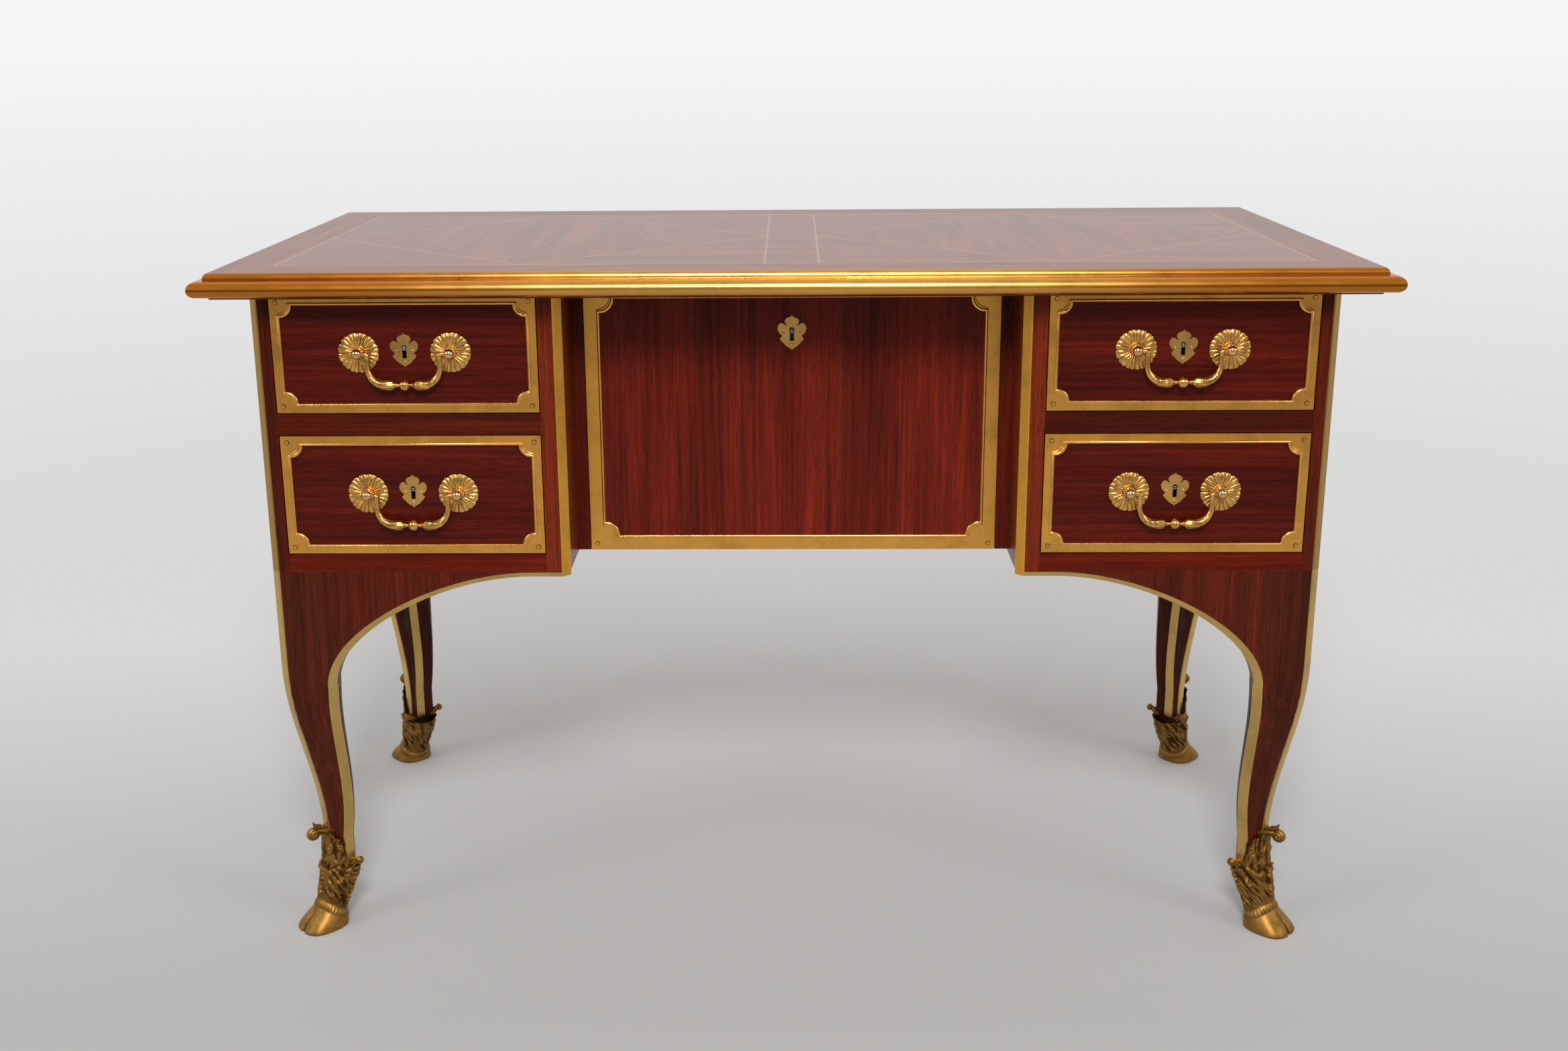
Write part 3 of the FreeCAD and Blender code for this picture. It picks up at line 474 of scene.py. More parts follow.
def worn_edges(piece, width):
    """Rounds the sharp edges of a piece by a width in millimetres."""
    choose(piece)
    rounding = piece.modifiers.new("worn_edges", "BEVEL")
    rounding.width = width * MM
    rounding.segments = 3
    rounding.limit_method = "ANGLE"
    rounding.angle_limit = math.radians(40)
    bpy.ops.object.modifier_apply(modifier=rounding.name)


def smoothed(node, body, slot, material, edge=None):
    """A merged and smoothed copy of a node with curved faces, its edges rounded where a width is given."""
    piece = bpy.data.objects.new(f"smooth_{node}", nodes[node].data.copy())
    bpy.context.scene.collection.objects.link(piece)
    choose(piece)
    bpy.ops.object.mode_set(mode="EDIT")
    bpy.ops.mesh.select_all(action="SELECT")
    bpy.ops.mesh.remove_doubles(threshold=1e-6)
    bpy.ops.object.mode_set(mode="OBJECT")
    if edge:
        worn_edges(piece, edge)
    bpy.ops.object.shade_smooth_by_angle(angle=math.radians(SMOOTH_ANGLE))
    flatten_normals(piece)
    settle(piece, body, slot, material, node)


for node, material in NODE_FINISHES.items():
    give(nodes[node], material)
smoothed("top_moulding", "carcass", "moulding_brass", moulding_brass)
smoothed("corner_strips", "carcass", "strip_brass", strip_brass)
for node in ("leg_strips", "apron_edging"):
    smoothed(node, "carcass", "strip_brass", leg_strip_brass)
for end in ENDS:
    for side in SIDES:
        smoothed(f"leg_{end}_{side}", "carcass", "leg_veneer", leg_wood)
smoothed("fall_frame", "fall_front", "frame_brass", frame_brass, edge=FRAME_EDGE)
for drawer in DRAWERS:
    smoothed(f"drawer_frame_{drawer}", f"drawer_{drawer}", "frame_brass", frame_brass, edge=FRAME_EDGE)


class Carving:
    """Points, faces and relief of a carved piece, gathered from several surfaces, in millimetres."""

    def __init__(self):
        self.points = []
        self.faces = []
        self.relief = []

    def wrap(self, rows, columns, point):
        """A surface closed round: point(share of the rows, turn) gives a place and its relief."""
        start = len(self.points)
        for row in range(rows + 1):
            for column in range(columns):
                place, relief = point(row / rows, 2 * math.pi * column / columns)
                self.points.append(place)
                self.relief.append(min(max(relief, 0.0), 1.0))
        for row in range(rows):
            low = start + row * columns
            for column in range(columns):
                after = (column + 1) % columns
                self.faces.append((low + column, low + after, low + columns + after, low + columns + column))
        self.faces.append(tuple(start + column for column in reversed(range(columns))))
        last = start + rows * columns
        self.faces.append(tuple(last + column for column in range(columns)))

    def piece(self, name, place):
        """The carved piece as a mesh, each point put in its place in metres."""
        mesh = bpy.data.meshes.new(name)
        mesh.from_pydata([place(*point) for point in self.points], [], self.faces)
        worn = mesh.attributes.new("relief", "FLOAT", "POINT")
        worn.data.foreach_set("value", self.relief)
        made = bpy.data.objects.new(name, mesh)
        bpy.context.scene.collection.objects.link(made)
        choose(made)
        bpy.ops.object.mode_set(mode="EDIT")
        bpy.ops.mesh.select_all(action="SELECT")
        bpy.ops.mesh.remove_doubles(threshold=1e-7)
        bpy.ops.mesh.normals_make_consistent(inside=False)
        bpy.ops.object.mode_set(mode="OBJECT")
        bpy.ops.object.shade_smooth_by_angle(angle=math.radians(55))
        return made


def step(value, low, high):
    """0 below low, 1 above high, smooth between."""
    share = min(max((value - low) / (high - low), 0.0), 1.0)
    return share * share * (3 - 2 * share)


def hump(value, middle, half):
    """1 at the middle, 0 at half a width away and beyond."""
    share = (value - middle) / half
    return max(1 - share * share, 0.0)


def ridge(value, middle, half):
    """A narrow rounded ridge that fades out on both sides."""
    return math.exp(-((value - middle) / half) ** 2)


def read_table(table, value):
    """The row of a table at a value of its first column, in straight lines between its rows."""
    value = min(max(value, table[0][0]), table[-1][0])
    for low, high in zip(table, table[1:]):
        if value <= high[0]:
            share = (value - low[0]) / (high[0] - low[0])
            return [a + (b - a) * share for a, b in zip(low[1:], high[1:])]
    return list(table[-1][1:])


def read_eased(table, value, reach):
    """The row of a table at a value, averaged over its neighbourhood so that no line breaks."""
    samples = [read_table(table, value + reach * share) for share in (-1, -0.5, 0, 0.5, 1)]
    return [sum(column) / len(samples) for column in zip(*samples)]


def lobe_side(turn, count, sway):
    """Where a turn lies across one of a ring of lobes, from -1 to 1."""
    return 2 * ((turn * count / (2 * math.pi) + sway) % 1.0) - 1


def signed(turn):
    return math.atan2(math.sin(turn), math.cos(turn))


def rim_height(turn):
    """The ragged upper edge of the collar, high over the toe and low at the heel."""
    height = read_eased(RIM, abs(math.degrees(signed(turn))), 8.0)[0]
    side = lobe_side(turn, RIM_TIPS, 0.3 + 0.1 * math.sin(3 * turn))
    return height - (2.2 + 1.4 * math.cos(turn)) * abs(side) ** 1.6 + 0.4 * math.cos(turn * 37)


def curl(turn, z, middle_turn, middle_z, radius):
    """A rolled leaf end: a round swelling with a groove winding in."""
    across = signed(turn - middle_turn) * LEAF_RADIUS
    up = z - middle_z
    far = math.hypot(across, up) / radius
    if far >= 1:
        return 0.0
    return (1 - far * far) * (1.5 + 0.8 * math.cos(math.atan2(up, across) - 8 * far))


def lumps(place, scale):
    """Hand-worked unevenness, from -1 to 1, with lumps of about one over the scale in millimetres."""
    return noise.noise(place * scale)


def on_collar(turn, z):
    return Vector((LEAF_RADIUS * math.cos(turn), LEAF_RADIUS * math.sin(turn), z))


def leaf_veins(z, turn, slant, veins):
    """Crests of coarse and fine leaf veins that sweep round as they rise."""
    place = on_collar(turn + slant * (z - VEIN_FOOT), z * VEIN_STRETCH)
    return sum((1 - abs(4.0 * lumps(place, fine))) * high for fine, high in veins)


def leaf_work(z, turn, low, rim):
    """The carved leaves between the coronet and the rim: how far they stand out, and their relief."""
    tier = TIER_Z + 2.4 * math.cos(6 * turn + 0.8) + 2.2 * lumps(on_collar(turn, z), 0.12)
    above = step(z, tier - 0.8, tier + 1.4)
    rising = step(z, low, low + 7)
    sweep = leaf_veins(z, turn, FLUTE_SLANT, FLUTE_VEINS)
    fan = leaf_veins(z, turn, FAN_SLANT, FAN_VEINS)
    lower = rising * sweep + 1.4 * step(z, tier - 11, tier - 1)
    upper = fan + 1.2 * step(z, rim - 8, rim) - 0.6
    out = lower * (1 - above) + upper * above
    relief = 0.4 + 0.34 * (sweep * rising * (1 - above) + fan * above) - 0.35 * ridge(z, tier + 1.8, 1.6)
    for bead_turn in BEAD_TURNS:
        across = signed(turn - bead_turn) * LEAF_RADIUS
        bead = max(1 - (across / 3.0) ** 2 - (((z - low) % BEAD_STEP) / BEAD_STEP * 2 - 1) ** 2, 0.0)
        fade = step(z, low + 2, low + 8) * (1 - step(z, tier + 6, tier + 16))
        out += 2.0 * math.sqrt(bead) * fade
        relief += (0.4 * math.sqrt(bead) - 0.15 * hump(across, 0, 5)) * fade
    for roll in LEAF_ROLLS:
        rolled = curl(turn, z, *roll)
        out += rolled
        relief += 0.12 * rolled
    return out, relief


def hoof_carving(z, turn, rim, half_wide):
    """How far the sabot's surface stands out at a height and turn, and its relief from 0 to 1."""
    facing = math.cos(turn)
    coronet = CORONET_Z + CORONET_TILT * facing
    top = coronet + CORONET_HALF
    if z < coronet - CORONET_HALF:
        down = (coronet - z) / coronet
        across = half_wide * math.copysign(abs(math.sin(turn)) ** SOLE_SQUARE, math.sin(turn))
        cleft = ridge(across, 0, 1.4 + 0.6 * down) if facing > 0 else 0.0
        cleft *= step(down, 0.15, 0.4)
        return -CLEFT_DEPTH * cleft - SOLE_ROUND * step(2.0 - z, 0, 2.0), 0.62 - 0.7 * cleft
    if z < top:
        rib = abs(math.cos(turn * CORONET_RIBS / 2)) ** 0.8
        height = hump(z, coronet, CORONET_HALF)
        return 1.7 * height * (0.55 + 0.45 * rib) - 0.2, 0.4 + height * (0.2 + 0.4 * rib)
    return leaf_work(z, turn, top, rim)


def sabot_surface(share, turn):
    """A point of the sabot from the sole up to the rim, over it, and down inside."""
    rim = rim_height(turn)
    z = rim * min(share / RIM_SHARE, 1.0)
    centre, half_long, half_wide = read_eased(HOOF_PLAN, z, 4.0)
    out, relief = hoof_carving(z, turn, rim, half_wide)
    if share > RIM_SHARE:
        inside = (share - RIM_SHARE) / (1 - RIM_SHARE)
        z = rim - COLLAR_INSIDE * inside
        out = out * (1 - inside) - 1.6 * step(inside, 0.0, 0.3) - 2.5 * inside
        relief = 0.3 - 0.3 * inside
    square = SOLE_SQUARE + (1 - SOLE_SQUARE) * step(z, 0, HOOF_WAIST)
    toward = math.copysign(abs(math.cos(turn)) ** square, math.cos(turn))
    across = math.copysign(abs(math.sin(turn)) ** square, math.sin(turn))
    return (centre + (half_long + out) * toward, (half_wide + out) * across, z), relief


def scroll_ball(middle, radius):
    """A volute: a ball with a groove winding in on both of its sides."""
    def surface(share, turn):
        tilt = math.pi * (share - 0.5) * 0.998
        groove = (0.5 + 0.5 * math.cos(turn + 9.0 * abs(tilt))) * step(abs(tilt), 0.25, 0.6)
        wound = radius * (1 - 0.13 * groove)
        flat = math.cos(tilt) * wound
        return ((middle[0] + flat * math.cos(turn), middle[1] + 0.9 * wound * math.sin(tilt),
                 middle[2] + flat * math.sin(turn)), 0.8 - 0.5 * groove)
    return surface


def horn(first, middle, last, thick, wide):
    """A tapering leaf tip along a bend through three points, ribbed along its length."""
    first, middle, last = Vector(first), Vector(middle), Vector(last)

    def surface(share, turn):
        spot = (1 - share) ** 2 * first + 2 * share * (1 - share) * middle + share ** 2 * last
        run = ((1 - share) * (middle - first) + share * (last - middle)).normalized()
        side = run.cross(Vector((0, 0, 1))).normalized()
        girth = (1 - 0.85 * share ** 1.5) * (1 + 0.14 * math.cos(5 * turn))
        spot += side.cross(run) * (thick * girth * math.cos(turn)) + side * (wide * girth * math.sin(turn))
        return tuple(spot), 0.5 + 0.35 * math.cos(5 * turn)
    return surface


def foot_place(side_sign, depth_sign):
    """From the toe's own directions to a foot's place. All four castings are turned, not mirrored."""
    toe = Vector((side_sign, depth_sign, 0)).normalized()
    cross = Vector((-toe.y, toe.x, 0))
    ankle = Vector((side_sign * ANKLE_X, depth_sign * ANKLE_Y, 0))

    def place(out, across, z):
        return tuple((ankle + toe * out + cross * across + Vector((0, 0, z))) * MM)
    return place


def on_hand(point, hand):
    """A point of the sabot's side, on its left for -1 and on its right for 1."""
    return point[0], hand * point[1], point[2]


sabot_carving = Carving()
sabot_carving.wrap(190, 210, sabot_surface)
sabot_carving.wrap(26, 32, scroll_ball(TOE_BALL, TOE_BALL_RADIUS))
sabot_carving.wrap(16, 24, horn(*TOE_LEAF))
sabot_carving.wrap(14, 16, horn(*TOE_TIP))
for hand in SIDES.values():
    sabot_carving.wrap(20, 24, scroll_ball(on_hand(SIDE_BALL, hand), SIDE_BALL_RADIUS))
    sabot_carving.wrap(12, 16, horn(*[on_hand(point, hand) for point in SIDE_LEAF], *SIDE_LEAF_SIZE))

for end, depth_sign in ENDS.items():
    for side, side_sign in SIDES.items():
        sabot = sabot_carving.piece(f"hoof_sabot_{end}_{side}", foot_place(side_sign, depth_sign))
        settle(sabot, "carcass", "gilt_bronze", sabot_gilt, f"sabot_{end}_{side}")


def rosette_surface(share, turn):
    """A rosette from the middle out over its petals, round the scalloped rim, and back behind."""
    sway = 0.09 * math.sin(3 * turn + 0.5) + 0.05 * math.sin(7 * turn)
    side = lobe_side(turn, PETALS, sway)
    scallop = 1 - lobe_side(turn, SCALLOPS, sway / 2) ** 2
    round_petal = 1 - side * side
    gap = ridge(abs(side), 1, 0.17)
    rim = ROSETTE_RADIUS * (0.93 + 0.05 * math.sqrt(scallop) + 0.02 * round_petal)
    if share > ROSETTE_FACE:
        back = (share - ROSETTE_FACE) / (1 - ROSETTE_FACE)
        return (rim * (1 - 0.05 * back) * math.cos(turn), rim * (1 - 0.05 * back) * math.sin(turn),
                (1 - back) * 0.8), 0.35
    radius = rim * share / ROSETTE_FACE
    part = radius / ROSETTE_RADIUS
    dish = read_eased(ROSETTE_PROFILE, part, 0.03)[0]
    leafed = step(part, 0.3, 0.42)
    height = dish + leafed * (0.45 * round_petal + 0.5 * scallop * step(part, 0.45, 0.9) - 0.5 * gap)
    worn = leafed * (0.14 * round_petal + 0.12 * scallop - 0.42 * gap)
    relief = 0.62 + worn - 0.6 * ridge(part, 0.29, 0.03)
    return (radius * math.cos(turn), radius * math.sin(turn), max(height, 0.3)), relief


def bail_path(run):
    """Place on one half of the bail and the direction there, by the run from its pin to the middle."""
    pin = POST_HALF - PIN_INSET
    bend = BAIL_DROP - ARM_STRAIGHT
    elbow = ELBOW_RADIUS
    lengths = (pin - ARM_X - elbow, elbow * math.pi / 2, ARM_STRAIGHT - elbow, bend * math.pi / 2,
               ARM_X - bend)
    done = run * sum(lengths)
    to_middle = sum(lengths) - done
    if done <= lengths[0]:
        return (pin - done, 0.0), (-1.0, 0.0), to_middle
    done -= lengths[0]
    if done <= lengths[1]:
        angle = done / elbow
        return ((ARM_X + elbow - elbow * math.sin(angle), -elbow + elbow * math.cos(angle)),
                (-math.cos(angle), -math.sin(angle)), to_middle)
    done -= lengths[1]
    if done <= lengths[2]:
        return (ARM_X, -elbow - done), (0.0, -1.0), to_middle
    done -= lengths[2]
    if done <= lengths[3]:
        angle = done / bend
        return ((ARM_X - bend + bend * math.cos(angle), -ARM_STRAIGHT - bend * math.sin(angle)),
                (-math.sin(angle), -math.cos(angle)), to_middle)
    done -= lengths[3]
    return (ARM_X - bend - done, -BAIL_DROP), (-1.0, 0.0), to_middle


def bail_surface(share, turn):
    """The bail from pin to pin: arms that swell into leafy buds, ringed necks and the ball in the middle."""
    (x, z), (run_x, run_z), to_middle = bail_path(1 - abs(2 * share - 1))
    radius = read_eased(BAIL_RADII, to_middle, 0.6)[0]
    if to_middle < BALL_RADIUS:
        radius = max(radius, math.sqrt(BALL_RADIUS ** 2 - to_middle ** 2))
    leafed = step(to_middle, 10.0, 13.0) * (1 - step(to_middle, 30.0, 44.0))
    lobes = math.cos(6 * turn + 0.25 * to_middle)
    tips = (to_middle * 0.16) % 1.0
    radius *= 1 + leafed * (0.07 * lobes + 0.06 * tips)
    relief = 0.72 + leafed * (0.3 * lobes - 0.25 + 0.25 * tips) - 0.4 * ridge(to_middle, 9.4, 0.8)
    side = radius * math.cos(turn)
    front = radius * math.sin(turn)
    sign = -1 if share > 0.5 else 1
    return (sign * (x - run_z * side), front, z + run_x * side), relief


rosette_carving = Carving()
rosette_carving.wrap(36, 288, rosette_surface)
bail_carving = Carving()
bail_carving.wrap(340, 24, bail_surface)


def turned(name, profile):
    """A piece spun round the Z axis from a profile of (radius, height) in millimetres."""
    deselect()
    bpy.ops.mesh.primitive_plane_add(size=MM)
    piece = bpy.context.active_object
    piece.name = name
    bpy.ops.object.mode_set(mode="EDIT")
    bpy.ops.mesh.select_all(action="SELECT")
    bpy.ops.mesh.merge(type="CENTER")
    first = profile[0]
    bpy.ops.transform.translate(value=(first[0] * MM, 0, first[1] * MM))
    for before, after in zip(profile, profile[1:]):
        move = ((after[0] - before[0]) * MM, 0, (after[1] - before[1]) * MM)
        bpy.ops.mesh.extrude_vertices_move(TRANSFORM_OT_translate={"value": move})
    bpy.ops.mesh.select_all(action="SELECT")
    bpy.ops.mesh.spin(steps=40, angle=2 * math.pi, center=(0, 0, 0), axis=(0, 0, 1))
    bpy.ops.mesh.select_all(action="SELECT")
    bpy.ops.mesh.remove_doubles(threshold=1e-6)
    bpy.ops.mesh.normals_make_consistent(inside=False)
    bpy.ops.object.mode_set(mode="OBJECT")
    bpy.ops.object.shade_smooth_by_angle(angle=math.radians(40))
    return piece


def arc(radius, middle, start, stop, count):
    """Points of a profile along an arc, by angles in degrees from the outward direction."""
    angles = [math.radians(start + (stop - start) * number / count) for number in range(count + 1)]
    return [(max(radius * math.cos(angle), 0.0), middle + radius * math.sin(angle)) for angle in angles]


boss_rise = DRAWER_FACE - BOSS_FRONT
boss_dome = arc(DOME_RADIUS, boss_rise - DOME_RADIUS, -28, 90, 18)
boss_pattern = turned("boss_pattern", [(0, 0.5), (BOSS_RADIUS, 0.5), (BOSS_RADIUS, 4.6), (6.2, 5.2),
                                       (5.2, 5.4), (5.0, 6.0)] + boss_dome)
pin_dome = arc(PIN_RADIUS, 0.2, 0, 90, 6)
pin_pattern = turned("pin_pattern", [(0, -0.3), (PIN_RADIUS, -0.3)] + pin_dome)
nut_pattern = turned("nut_pattern", [(0, 0), (6.0, 0), (6.0, -3.4), (5.4, -4.0), (2.5, -4.0), (2.5, -5.6),
                                     (2.0, -6.0), (0, -6.0)])
# A thin ring of painted shadow that sits round a screw head.
shadow_ring_pattern = turned("shadow_ring_pattern", [(2.0, -0.2), (2.0, 0.1), (2.7, 0.1), (2.8, -0.2), (2.0, -0.2)])
drill_pin_dome = arc(DRILL_PIN_RADIUS, 0.6, 0, 90, 6)
barrel_pattern = turned("barrel_pattern", [(0, -6.0), (3.1, -6.0), (3.1, 0.4), (2.5, 0.6), (2.1, 0.2),
                                           (2.1, -2.0), (DRILL_PIN_RADIUS, -2.0)] + drill_pin_dome)


def bent(t, a, b, c, d):
    """The value at a share t of the way from b to c, on a smooth line that comes from a and goes on to d."""
    squared = (2 * a - 5 * b + 4 * c - d) * t * t
    return 0.5 * (2 * b + (c - a) * t + squared + (3 * b - a - 3 * c + d) * t ** 3)


def eased(points):
    """A smooth line through points, with some in between."""
    made = []
    for number in range(len(points) - 1):
        p0 = points[max(number - 1, 0)]
        p1 = points[number]
        p2 = points[number + 1]
        p3 = points[min(number + 2, len(points) - 1)]
        for part in range(OUTLINE_STEPS):
            share = part / OUTLINE_STEPS
            made.append(tuple(bent(share, *four) for four in zip(p0, p1, p2, p3)))
    made.append(points[-1])
    return made


def escutcheon():
    """The lobed key plate, lying flat with its face up, and its keyhole cut through."""
    right = eased(ESCUTCHEON_HALF)
    outline = right + [(-x, z) for x, z in reversed(right[1:-1])]
    deselect()
    bpy.ops.mesh.primitive_circle_add(vertices=len(outline), fill_type="NGON")
    plate = bpy.context.active_object
    plate.name = "escutcheon_pattern"
    for vertex, (x, z) in zip(plate.data.vertices, reversed(outline)):
        vertex.co = (x * MM, z * MM, 0)
    bpy.ops.object.mode_set(mode="EDIT")
    bpy.ops.mesh.select_all(action="SELECT")
    bpy.ops.mesh.extrude_region_move(TRANSFORM_OT_translate={"value": (0, 0, ESCUTCHEON_RISE * MM)})
    bpy.ops.mesh.select_all(action="SELECT")
    bpy.ops.mesh.normals_make_consistent(inside=False)
    bpy.ops.object.mode_set(mode="OBJECT")
    deselect()
    bpy.ops.mesh.primitive_cylinder_add(vertices=32, radius=KEYHOLE_RADIUS * MM, depth=KEYHOLE_CUT * MM,
                                        location=(0, KEYHOLE_RISE * MM, 0))
    barrel = bpy.context.active_object
    deselect()
    drop = KEYHOLE_RISE - KEYHOLE_FOOT
    bpy.ops.mesh.primitive_cube_add(size=1, location=(0, (KEYHOLE_RISE - drop / 2) * MM, 0),
                                    scale=(KEYHOLE_SLOT * MM, drop * MM, KEYHOLE_CUT * MM))
    ward = bpy.context.active_object
    for cutter in (barrel, ward):
        choose(plate)
        cut = plate.modifiers.new("keyhole", "BOOLEAN")
        cut.operation = "DIFFERENCE"
        cut.object = cutter
        bpy.ops.object.modifier_apply(modifier=cut.name)
        bpy.data.objects.remove(cutter)
    worn_edges(plate, PLATE_EDGE)
    bpy.ops.object.shade_smooth_by_angle(angle=math.radians(35))
    flatten_normals(plate)
    return plate


key_pattern = escutcheon()


def copied(pattern, name, matrix):
    """A copy of a pattern with its own mesh, put in its place."""
    piece = bpy.data.objects.new(name, pattern.data.copy())
    bpy.context.scene.collection.objects.link(piece)
    piece.data.transform(matrix)
    return piece


def facing_front(x, y, z, scale=1.0):
    """Turns a flat pattern's face to the front and puts it in its place, in millimetres."""
    return (Matrix.Translation(Vector((x, y, z)) * MM) @ Matrix.Rotation(math.radians(90), 4, "X")
            @ Matrix.Scale(scale, 4))


def key_plate(name, x, face, z, scale, body, *stands_for):
    """A key plate with its pins, and the lock's barrel and drill pin in the keyhole."""
    plate = copied(key_pattern, f"escutcheon_{name}", facing_front(x, face, z, scale))
    settle(plate, body, "frame_brass", plate_brass, *stands_for)
    hole = facing_front(x, face, z + KEYHOLE_RISE * scale, scale)
    barrel = copied(barrel_pattern, f"lock_barrel_{name}", hole)
    settle(barrel, body, "lock_steel", lock_steel)
    front = face - (ESCUTCHEON_RISE - PIN_SINK) * scale
    for number, (pin_x, pin_z) in enumerate(PIN_SPOTS):
        spot = facing_front(x + pin_x * scale, front, z + pin_z * scale, scale)
        pin = copied(pin_pattern, f"escutcheon_pin_{name}_{number}", spot)
        settle(pin, body, "fitting_brass", boss_brass)


def on_drawer(post_x, boss_z):
    """From a rosette's own directions to its place on the drawer's face."""
    def place(x, z, rise):
        return ((post_x + x) * MM, (DRAWER_FACE - rise) * MM, (boss_z + z) * MM)
    return place


def on_bail(middle, boss_z):
    """From the bail's own directions to its place before the drawer."""
    def place(x, front, z):
        return ((middle + x) * MM, (BAIL_AXIS - front) * MM, (boss_z + z) * MM)
    return place


def frame_edges(frame_node):
    """A frame's outer edges in millimetres: left, right, bottom and top."""
    corners = [nodes[frame_node].matrix_world @ Vector(corner) / MM for corner in nodes[frame_node].bound_box]
    across = [corner.x for corner in corners]
    upright = [corner.z for corner in corners]
    return min(across), max(across), min(upright), max(upright)


def screw_shadows(frame_node, face, body):
    """A painted shadow: a dark ring round each of the four screws of a frame."""
    left, right, bottom, top = frame_edges(frame_node)
    rings = []
    for x in (left + SCREW_INSET, right - SCREW_INSET):
        for z in (bottom + SCREW_INSET, top - SCREW_INSET):
            rings.append(copied(shadow_ring_pattern, f"screw_shadows_{body}", facing_front(x, face - FRAME_RISE, z)))
    choose(rings[0])
    for ring in rings[1:]:
        ring.select_set(True)
    bpy.ops.object.join()
    settle(rings[0], body, "frame_brass", screw_shadow_brass)


def frame_bead(frame_node, face, band, ear, body):
    """The half-round bead along a frame's opening, which rounds an ear in each corner."""
    left, right, bottom, top = frame_edges(frame_node)
    radius = ear - BEAD_SET
    lead = math.asin(BEAD_SET / radius)
    turns = [-lead + (math.pi / 2 + 2 * lead) * number / EAR_STEPS for number in range(EAR_STEPS + 1)]
    path = []
    for x, z, inward_x, inward_z in ((left + band, bottom + band, 1, 1), (right - band, bottom + band, -1, 1),
                                     (right - band, top - band, -1, -1), (left + band, top - band, 1, -1)):
        round_ear = []
        for turn in turns:
            round_ear.append((x + inward_x * radius * math.cos(turn), z + inward_z * radius * math.sin(turn)))
        path += round_ear if inward_x != inward_z else reversed(round_ear)
    line = bpy.data.curves.new(f"frame_bead_{body}", "CURVE")
    line.dimensions = "3D"
    line.bevel_depth = BEAD_RADIUS * MM
    line.bevel_resolution = 4
    run = line.splines.new("POLY")
    run.points.add(len(path) - 1)
    for point, (x, z) in zip(run.points, path):
        point.co = (x * MM, (face - FRAME_RISE) * MM, z * MM, 1.0)
    run.use_cyclic_u = True
    bead = bpy.data.objects.new(line.name, line)
    bpy.context.scene.collection.objects.link(bead)
    choose(bead)
    bpy.ops.object.convert(target="MESH")
    bead = bpy.context.active_object
    bpy.ops.object.shade_smooth_by_angle(angle=math.radians(50))
    settle(bead, body, "frame_brass", bead_brass)


for drawer in DRAWERS:
    level, side = drawer.split("_")
    middle = SIDES[side] * DRAWER_X
    boss_z = BOSS_Z[level]
    body = f"drawer_{drawer}"
    key_plate(drawer, middle, DRAWER_FACE, boss_z + KEY_ABOVE_BOSS, 1.0, body, f"drawer_mounts_{drawer}")
    for hand, sign in SIDES.items():
        post_x = middle + sign * POST_HALF
        rosette = rosette_carving.piece(f"rosette_{drawer}_{hand}", on_drawer(post_x, boss_z))
        settle(rosette, body, "fitting_brass", fitting_gilt)
        boss = copied(boss_pattern, f"boss_{drawer}_{hand}", facing_front(post_x, DRAWER_FACE, boss_z))
        settle(boss, body, "fitting_brass", boss_brass)
        nut = copied(nut_pattern, f"handle_nut_{drawer}_{hand}", facing_front(post_x, FRONT_INSIDE, boss_z))
        settle(nut, body, "fitting_brass", boss_brass)
    bail = bail_carving.piece(f"swing_bail_{drawer}", on_bail(middle, boss_z))
    settle(bail, f"bail_{drawer}", "fitting_brass", fitting_gilt, f"bail_{drawer}")
    screw_shadows(f"drawer_frame_{drawer}", DRAWER_FACE, body)
    frame_bead(f"drawer_frame_{drawer}", DRAWER_FACE, *DRAWER_FRAME, body)
key_plate("fall", 0.0, FALL_FACE, FALL_KEY_Z, FALL_KEY_SCALE, "fall_front", "fall_escutcheon")
screw_shadows("fall_frame", FALL_FACE, "fall_front")
frame_bead("fall_frame", FALL_FACE, *FALL_FRAME, "fall_front")

for pattern in (boss_pattern, nut_pattern, pin_pattern, shadow_ring_pattern, barrel_pattern, key_pattern):
    bpy.data.objects.remove(pattern)


def light_path(start, ray):
    return start.node("ShaderNodeLightPath", None, None, ray)


def polish_ray(start):
    """1 where a polished face or glass looks, 0 for other rays."""
    glossy = light_path(start, "Is Glossy Ray")
    return glossy.highest(light_path(start, "Is Transmission Ray"))


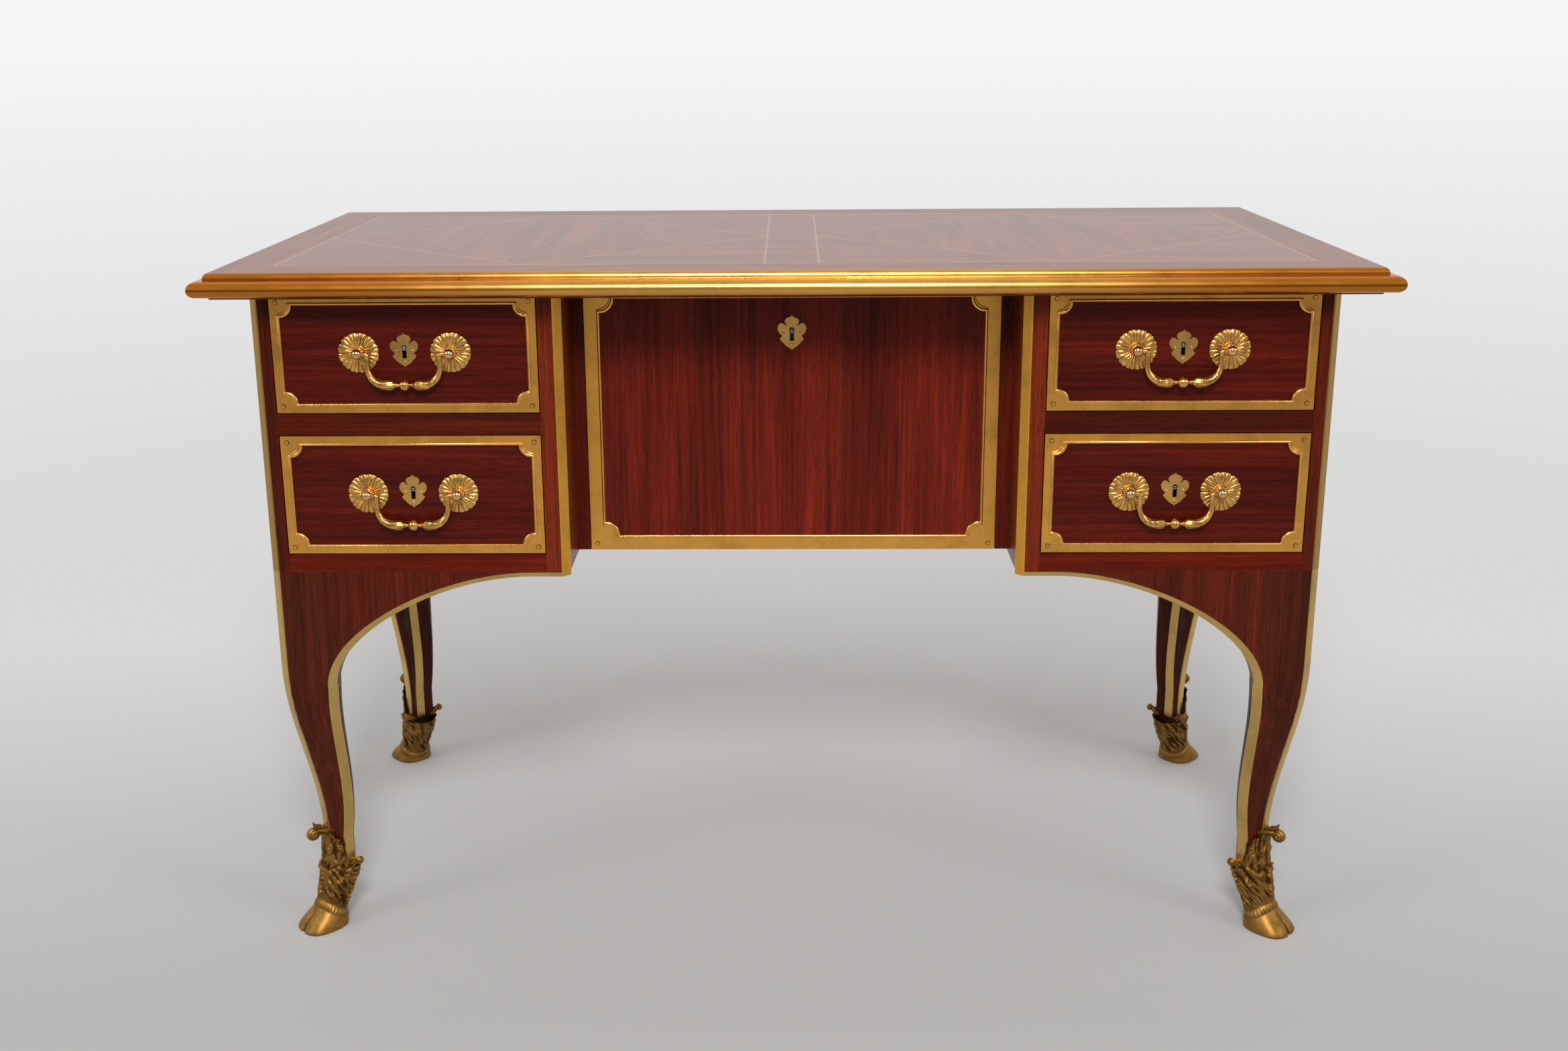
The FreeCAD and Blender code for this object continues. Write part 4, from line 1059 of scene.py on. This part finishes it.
def studio_floor():
    """A floor with painted light, dark at the front and paler under and behind the desk where its shadow
    falls, that melts into the pale backdrop far from the desk.
    """
    deselect()
    bpy.ops.mesh.primitive_plane_add(size=160.0)
    floor = bpy.context.active_object
    floor.name = "studio_floor"
    material, place = new_material("studio_floor")
    tree = material.node_tree
    back = place.node("ShaderNodeSeparateXYZ", None, {0: place}, "Y")
    far = place.node("ShaderNodeVectorMath", {"operation": "LENGTH"}, {0: place}, "Value")
    front_end, back_end = FLOOR_LIGHT_RUN
    run = back.node("ShaderNodeMapRange", None, {"Value": back, "From Min": front_end, "From Max": back_end})
    # Painted light: the floor runs from dark at the front to pale under and behind the desk, which lightens
    # the desk's shadow.
    floor_light_paint = run.ramp([(0.0, rgb(0.32, 0.318, 0.316)), (0.52, rgb(0.42, 0.417, 0.415)),
                      (0.64, rgb(0.54, 0.537, 0.535)), (0.8, rgb(0.74, 0.737, 0.735)),
                      (1.0, rgb(0.80, 0.80, 0.80))])
    set_finish(material, {"Base Color": floor_light_paint, "Roughness": 0.9, "Specular IOR Level": 0.0})
    depth = far.maths("DIVIDE", far, far + 4.0)
    pale = depth.ramp([(0.25, rgb(0.66, 0.66, 0.66)), (0.6, rgb(0.80, 0.80, 0.80)),
                       (0.97, rgb(0.93, 0.93, 0.93))])
    glow = back.node("ShaderNodeEmission", None, {"Color": pale})
    shader = Tint(tree, tree.nodes["Principled BSDF"].outputs[0])
    seen = far.between(*FLOOR_MELT) * light_path(back, "Is Camera Ray")
    melted = seen + back.between(*FLOOR_MELT) * polish_ray(back)
    surface = back.node("ShaderNodeMixShader", None, {0: melted, 1: shader, 2: glow})
    feed(tree, tree.nodes["Material Output"].inputs["Surface"], surface)
    give(floor, material)


def studio_sky():
    """Even studio light, the pale backdrop that the camera sees, and the room that the polish sees."""
    world = bpy.data.worlds.new("studio")
    bpy.context.scene.world = world
    world.use_nodes = True
    tree = world.node_tree
    start = Tint(tree)
    way = start.node("ShaderNodeTexCoord", None, None, "Generated")
    toward_back = way.node("ShaderNodeSeparateXYZ", None, {0: way}, "Y").between(-0.9, 0.7)
    pale = rgb(0.93, 0.93, 0.93)
    room = toward_back.mix(rgb(0.34, 0.335, 0.33), pale)
    light = polish_ray(start).mix(rgb(0.72, 0.71, 0.70), room)
    light = light_path(start, "Is Camera Ray").mix(light, pale)
    feed(tree, tree.nodes["Background"].inputs["Color"], light)


def softbox(name, place, size, watts):
    lamp = bpy.data.lights.new(name, "AREA")
    lamp.shape = "SQUARE"
    lamp.size = size
    lamp.energy = watts
    made = bpy.data.objects.new(name, lamp)
    made.location = place
    made.rotation_euler = (Vector(LIGHT_AIM) - Vector(place)).to_track_quat("-Z", "Y").to_euler()
    bpy.context.scene.collection.objects.link(made)


def camera():
    """The camera of the photograph: above the sitter's head, looking down at the drawers."""
    yaw, pitch, roll = (math.radians(angle) for angle in CAMERA_TURN)
    forward = Vector((math.sin(yaw) * math.cos(pitch), math.cos(yaw) * math.cos(pitch), -math.sin(pitch)))
    level = Vector((math.cos(yaw), -math.sin(yaw), 0))
    up = level.cross(forward)
    right = level * math.cos(roll) + up * math.sin(roll)
    top = up * math.cos(roll) - level * math.sin(roll)
    lens = bpy.data.cameras.new("camera")
    lens.sensor_width = SENSOR_MM
    lens.lens = LENS_MM
    lens.shift_x, lens.shift_y = LENS_SHIFT
    made = bpy.data.objects.new("camera", lens)
    turn = Matrix((right, top, -forward)).transposed().to_4x4()
    made.matrix_world = Matrix.Translation(CAMERA_PLACE) @ turn
    bpy.context.scene.collection.objects.link(made)
    bpy.context.scene.camera = made


studio_floor()
studio_sky()
for name, (place, size, watts) in SOFTBOXES.items():
    softbox(name, place, size, watts)
camera()
bpy.context.scene.view_settings.view_transform = "Standard"
